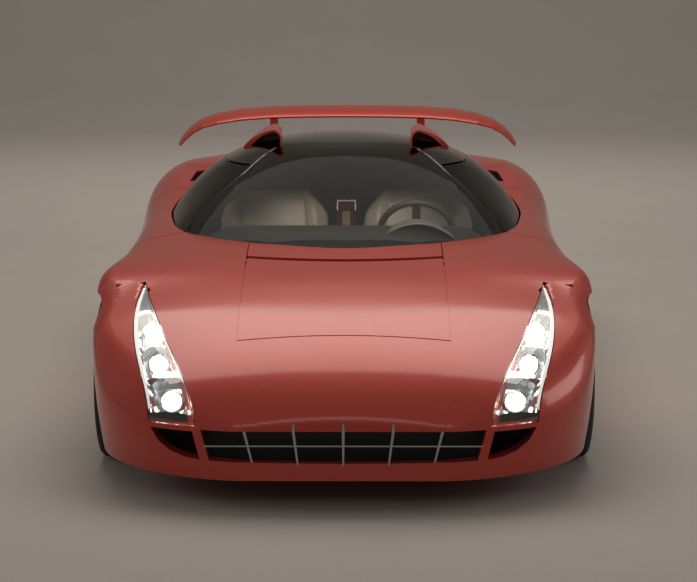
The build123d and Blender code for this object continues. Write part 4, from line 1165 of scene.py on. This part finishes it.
# %% Slot liners
SLOT_CORNERS = [(593, 3040), (762, 3062), (742, 3251), (603, 3258)]
SLOT_FLOOR = 790
haunch_tree = skin_tree("rear_clip")


def slot_top(x, station):
    """A little under the haunch's skin, measured beside the slot."""
    beside = x + math.copysign(14, x - 680)
    return (skin_height(haunch_tree, beside, station) or 850) - 5


floor = [at_station(x, s, SLOT_FLOOR) for x, s in SLOT_CORNERS]
rim = [at_station(x, s, slot_top(x, s)) for x, s in SLOT_CORNERS]
slot_box = (floor + rim, [(0, 1, 2, 3)] + [(k, (k + 1) % 4, 4 + (k + 1) % 4, 4 + k) for k in range(4)])
liners = together(slot_box, other_side(slot_box))
# The liner's black is partly its plastic and partly painted shade inside the slot.
new_piece("haunch_slot_liner", "chassis", trim_plastic, liners)
print("liner corners:", len(liners[0]))

# %% [markdown]
# ## Seals
#
# A rubber seal fills the seam between the screen and each door's corner, with a thin bright edge
# beside it where the glass is ground.

# %% Screen seals
SEAM = [(700, 1762), (633, 1828), (571, 1890), (509, 1960)]  # distance from the centreline, station
SEAM += [(452, 2060), (403, 2158), (362, 2220), (325, 2268)]
canopy_tree = skin_tree("canopy_frame", "windscreen", "door_glass_left", "door_left")
# Columns: name, finish, radius, slot, steps inward and forward, depth.
SEALS = (
    ("screen_seal", seal_rubber, 0.0024, "dark_plastic", 0, 0, 0.6),
    ("screen_edge", bright_trim, 0.0009, "bright_bar", 9, 5, 0.2),
)
for label, finish, radius, slot, inward, forward, depth in SEALS:
    path = [(x - inward, station - forward) for x, station in SEAM]
    found = [(x, station, skin_height(canopy_tree, x, station)) for x, station in path]
    for side, sign in (("left", 1), ("right", -1)):
        points = [at_station(sign * x, station, z - depth) for x, station, z in found if z is not None]
        line(f"{label}_{side}", "chassis", finish, points, radius)
print("seal points:", len(points))

# %% [markdown]
# ## Tyres and wheels
#
# The tread is cut into the same profile as the plain tyre: four grooves run round it and short slots
# open its shoulders, sixty to the turn. Each slot is two of the ring's columns pushed inwards.

# %% Tyres with tread
# Columns: end, axle's station, tyre radius, width, distance of the outer face, spindle's end.
WHEELS = (("front", 930, 320, 225, 972, 925), ("rear", 3500, 335, 285, 985, 935))
TREAD_PITCHES, GROOVE, SLOT = 60, 7.0, 5.5
GROOVE_EDGES = ((-5, 0), (-4, GROOVE), (4, GROOVE), (5, 0))  # across, depth
PITCH_COLUMNS = ((0.0, False), (0.36, False), (0.42, True), (0.54, True), (0.60, False))  # share, in a slot


def tread_section(radius, width, face):
    """Points of the tyre's section, as (x, radius, depth of the shoulder slot there)."""
    bead, inner = radius - 92, face - width
    half, middle = width / 2 - 24, face - width / 2
    section = [(inner + 12, bead, 0), (inner + 2, bead + 25, 0), (inner, bead + 50, 0)]
    section += [(inner + 2, bead + 60, 0), (inner + 6, radius - 16, SLOT * 0.7)]
    section += [(inner + 14, radius - 7, SLOT)]
    edges = [(-half, 0)]
    for centre in (-0.62, -0.22, 0.22, 0.62):
        edges += [(centre * half + step, depth) for step, depth in GROOVE_EDGES]
    edges.append((half, 0))
    for across, depth in edges:
        slotted = abs(across) > 0.7 * half and depth == 0
        section.append((middle + across, radius - depth, SLOT if slotted else 0))
    section += [(face - 14, radius - 7, SLOT), (face - 6, radius - 16, SLOT * 0.7)]
    section += [(face - 2, bead + 60, 0), (face, bead + 50, 0), (face - 1.2, bead + 40, 0)]
    section += [(face - 2.6, bead + 38, 0), (face - 2, bead + 25, 0), (face - 12, bead, 0)]
    return section


def treaded_tyre(axle, radius, width, face):
    """The section in rows round the axle; two of each pitch's rows lie in a slot."""
    section = tread_section(radius, width, face)
    outlines = {cut: [(x, r - slot_depth * cut) for x, r, slot_depth in section] for cut in (False, True)}
    rows = []
    for pitch in range(TREAD_PITCHES):
        for share, cut in PITCH_COLUMNS:
            turn = 2 * math.pi * (pitch + share) / TREAD_PITCHES
            rows.append(ring_points(outlines[cut], axle, radius, turn))
    return skin_rows(rows, closed=True, ring=True)


def ring_points(section, axle, height, turn):
    """A section of (x, radius) points at one turn about a wheel's axle."""
    c, s = math.cos(turn), math.sin(turn)
    return [at_station(x, axle + r * c, height + r * s) for x, r in section]


for end, axle, radius, width, face, _ in WHEELS:
    tyre = treaded_tyre(axle, radius, width, face)
    treads = new_pair(f"tyre_tread_{end}", f"wheel_{end}_", tyre_rubber, tyre, crease=28)
    for side, piece in zip(SIDES, treads):
        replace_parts(piece, f"tyre_{end}_{side}")
print("points of a tyre:", len(tyre[0]))


# %% Wheel nuts, caps and calipers
CAP = [(-28.5, 0.1), (-28.5, 37), (-24, 36), (-20, 30), (-18.5, 14), (-18, 0.1)]  # from the face, radius
NUT = [(-40, 9.5), (-27, 9.5), (-25, 8), (-25, 0.1)]
NUT_CIRCLE, NUT_COUNT = 49, 5
CALIPER_SPAN = math.radians(56)


def turned_mm(profile, centre, axis, steps=48):
    """turned, with the profile and the centre (x, station, z) in millimetres."""
    return turned([(a / 1000, r / 1000) for a, r in profile], at_station(*centre), axis, steps)


def from_face(profile, face):
    """A wheel's profile, given from the tyre's outer face, at its real distance."""
    return [(face + a, r) for a, r in profile]


for end, axle, radius, width, face, spindle in WHEELS:
    cap = turned_mm(from_face(CAP, face), (0, axle, radius), (1, 0, 0))
    nuts = []
    for k in range(NUT_COUNT):
        turn = 2 * math.pi * (k + 0.5) / NUT_COUNT
        centre = (0, axle + NUT_CIRCLE * math.cos(turn), radius + NUT_CIRCLE * math.sin(turn))
        nuts.append(turned_mm(from_face(NUT, face), centre, (1, 0, 0), steps=6))
    inner, outer = spindle - 60, spindle - 36
    section = [(inner - 16, 108), (inner - 16, 190), (outer + 14, 190), (outer + 14, 108)]
    section += [(outer + 2, 112), (outer + 2, 170), (inner - 2, 170), (inner - 2, 112)]
    behind = 0 if end == "front" else math.pi
    turns = [behind + CALIPER_SPAN * (k / 12 - 0.5) for k in range(13)]
    caliper = skin_rows([ring_points(section, axle, radius, t) for t in turns], closed=True, ends=True)
    carrier = "steering_" if end == "front" else "chassis"
    new_pair(f"wheel_cap_{end}", f"wheel_{end}_", bright_trim, cap)
    new_pair(f"wheel_nuts_{end}", f"wheel_{end}_", forged_steel, together(*nuts))
    new_pair(f"caliper_{end}", carrier, forged_steel, caliper)
print("nuts on each wheel:", len(nuts))

# %% [markdown]
# ## Tail
#
# Each round lamp sits in a bright ring. The vent around the exhaust tips is closed by crossed bars.

# %% Tail lamp rings and vent bars
LAMP_RING = [(4380, 54.6), (4399, 54.6), (4401, 57), (4399, 60), (4380, 60)]
rings = [turned_mm(LAMP_RING, (x, 0, 665), (0, 1, 0)) for x in (535, 675)]
rings += [other_side(ring) for ring in rings]
new_piece("tail_lamp_rings", "chassis", bright_trim, together(*rings))


def bar(first, last, steps):
    """A square bar between two points (x, station, z), from the steps to its four edges."""
    rows = [[at_station(*(a + b for a, b in zip(end, step))) for step in steps] for end in (first, last)]
    return skin_rows(rows, closed=True, ends=True)


upright = [(-2, 0, 0), (2, 0, 0), (2, 8, 0), (-2, 8, 0)]
level = [(0, 0, -2), (0, 0, 2), (0, 6, 2), (0, 6, -2)]
bars = [bar((x, 4352, 331), (x, 4352, 469), upright) for x in range(-400, 401, 40)]
bars += [bar((-419, 4348, z), (419, 4348, z), level) for z in (365, 400, 435)]
new_piece("tail_vent_bars", "chassis", trim_plastic, together(*bars))
print("vent bars:", len(bars))

# %% [markdown]
# ## Studio
#
# A pale seamless floor, a soft overhead box, two side banks and a weak fill: what a car photographer
# uses. The overhead box draws the broad pale band across the bonnet. The camera stands ahead of the
# car with a long lens, a little above the roof.

# %% Camera
FOCAL_PIXELS, FRAME_WIDTH, SENSOR = 2290, 697, 36
CAMERA_PLACE, LOOK_DOWN, LOOK_LEFT = (0.0466, -10.25, 2.143), math.atan(0.1647), math.radians(0.197)
camera_data = bpy.data.cameras.new("studio_camera")
camera_data.sensor_width = SENSOR
camera_data.lens = SENSOR * FOCAL_PIXELS / FRAME_WIDTH
camera_data.clip_end = 200
camera = bpy.data.objects.new("studio_camera", camera_data)
camera.location = CAMERA_PLACE
camera.rotation_euler = (math.radians(90) - LOOK_DOWN, 0, LOOK_LEFT)
bpy.context.scene.collection.objects.link(camera)
bpy.context.scene.camera = camera
bpy.context.scene.view_settings.view_transform = "Standard"
print("lens in mm:", round(camera_data.lens, 1))

# %% Floor
SWEEP_START, SWEEP_RADIUS, SWEEP_HALF, WALL_TOP = 12.5, 6, 18, 14


def studio_floor():
    """A seamless sweep: flat under the car, curving up far behind it."""
    material, tree, shader = new_finish("matt_studio_floor", "#a8a39e", Roughness=0.75)
    vary(tree, shader, "#aba6a0", "#a49f9a", 40, (0.7, 0.8), 0.05)
    shell = bmesh.new()
    angles = [math.radians(15 * k) for k in range(7)]
    bend = [(SWEEP_START + SWEEP_RADIUS * math.sin(a), SWEEP_RADIUS * (1 - math.cos(a))) for a in angles]
    rows = [(-14, 0)] + bend + [(SWEEP_START + SWEEP_RADIUS, WALL_TOP)]
    edges = [[shell.verts.new((x, y, z)) for x in (-SWEEP_HALF, SWEEP_HALF)] for y, z in rows]
    for lower, upper in zip(edges, edges[1:]):
        shell.faces.new((lower[0], lower[1], upper[1], upper[0]))
    mesh = bpy.data.meshes.new("studio_floor")
    shell.to_mesh(mesh)
    shell.free()
    mesh.materials.append(material)
    mesh.shade_smooth()
    sweep = bpy.data.objects.new("studio_floor", mesh)
    bpy.context.scene.collection.objects.link(sweep)
    return sweep


sweep = studio_floor()
print("sweep faces:", len(sweep.data.polygons))


# %% Lights
def soft_box(name, place, target, size, watts, colour="#fff6ee"):
    """A rectangular soft light aimed at a point."""
    light = bpy.data.lights.new(name, "AREA")
    light.shape = "RECTANGLE"
    light.size, light.size_y = size
    light.energy = watts
    light.color = hex_to_linear(colour)[:3]
    box = bpy.data.objects.new(name, light)
    box.location = place
    box.rotation_euler = (Vector(target) - Vector(place)).to_track_quat("-Z", "Y").to_euler()
    bpy.context.scene.collection.objects.link(box)
    return box


overhead = soft_box("overhead_box", (0, 1.2, 5.4), (0, 1.2, 0), (4.8, 5.2), 205, "#fff4ea")
left_bank = soft_box("left_bank", (6.5, -1.0, 2.6), (0, 0, 0.5), (4.0, 2.0), 60)
right_bank = soft_box("right_bank", (-6.5, -1.0, 2.6), (0, 0, 0.5), (4.0, 2.0), 60)
soft_box("front_fill", (0, -9.0, 4.6), (0, -1.0, 0.9), (6.0, 2.0), 40)
cabin_fill = soft_box("cabin_fill", (0, -3.6, 3.3), (0, 0.3, 0.7), (2.4, 1.0), 260, "#fff4ea")
sweep_wash = soft_box("sweep_wash", (0, 7.0, 6.0), (0, 12.0, 1.0), (9.0, 3.0), 290)
right_bank.visible_glossy = False
print("lights:", len(bpy.data.lights))

# %% [markdown]
# A photographer hangs black flags so that the overhead box shines on the paint and not in the glass,
# and sets small lamps that reach only the seats or only the backdrop. Light linking does the same:
# a lamp's list either leaves pieces out of its reach, or holds the only pieces that it reaches.

# %% Flags
CABIN_LABELS = ("seat_", "headrest", "spine", "dash", "dial_hood", "steering_wheel")
PANES = ("windscreen", "door_glass_left", "door_glass_right")


def reach_of(lamps, name, members, state="INCLUDE"):
    """Give lamps one list of pieces that they reach, or leave out."""
    listed = bpy.data.collections.new(name)
    for member in members:
        listed.objects.link(member)
    for entry in listed.collection_objects:
        entry.light_linking.link_state = state
    for lamp in lamps:
        lamp.light_linking.receiver_collection = listed
    return len(listed.objects)


flagged = [nodes[name] for name in PANES + ("canopy_frame", "engine_cover")]
cabin = [o for o in bpy.data.objects if o.type == "MESH" and o.name.startswith(CABIN_LABELS)]
reach_of((overhead, left_bank), "flagged_from_overhead", flagged, "EXCLUDE")
reach_of((sweep_wash,), "washed_sweep", [sweep])
print("cabin pieces filled:", reach_of((cabin_fill,), "filled_cabin", cabin))
for pane in PANES:
    nodes[pane].visible_shadow = False

# %% Air of the studio
world = bpy.data.worlds.new("studio_air")
world.use_nodes = True
bpy.context.scene.world = world
air = world.node_tree
feed(air, air.nodes["Background"], {"Color": hex_to_linear("#c4bfb9"), "Strength": 0.4})
print("world:", world.name)
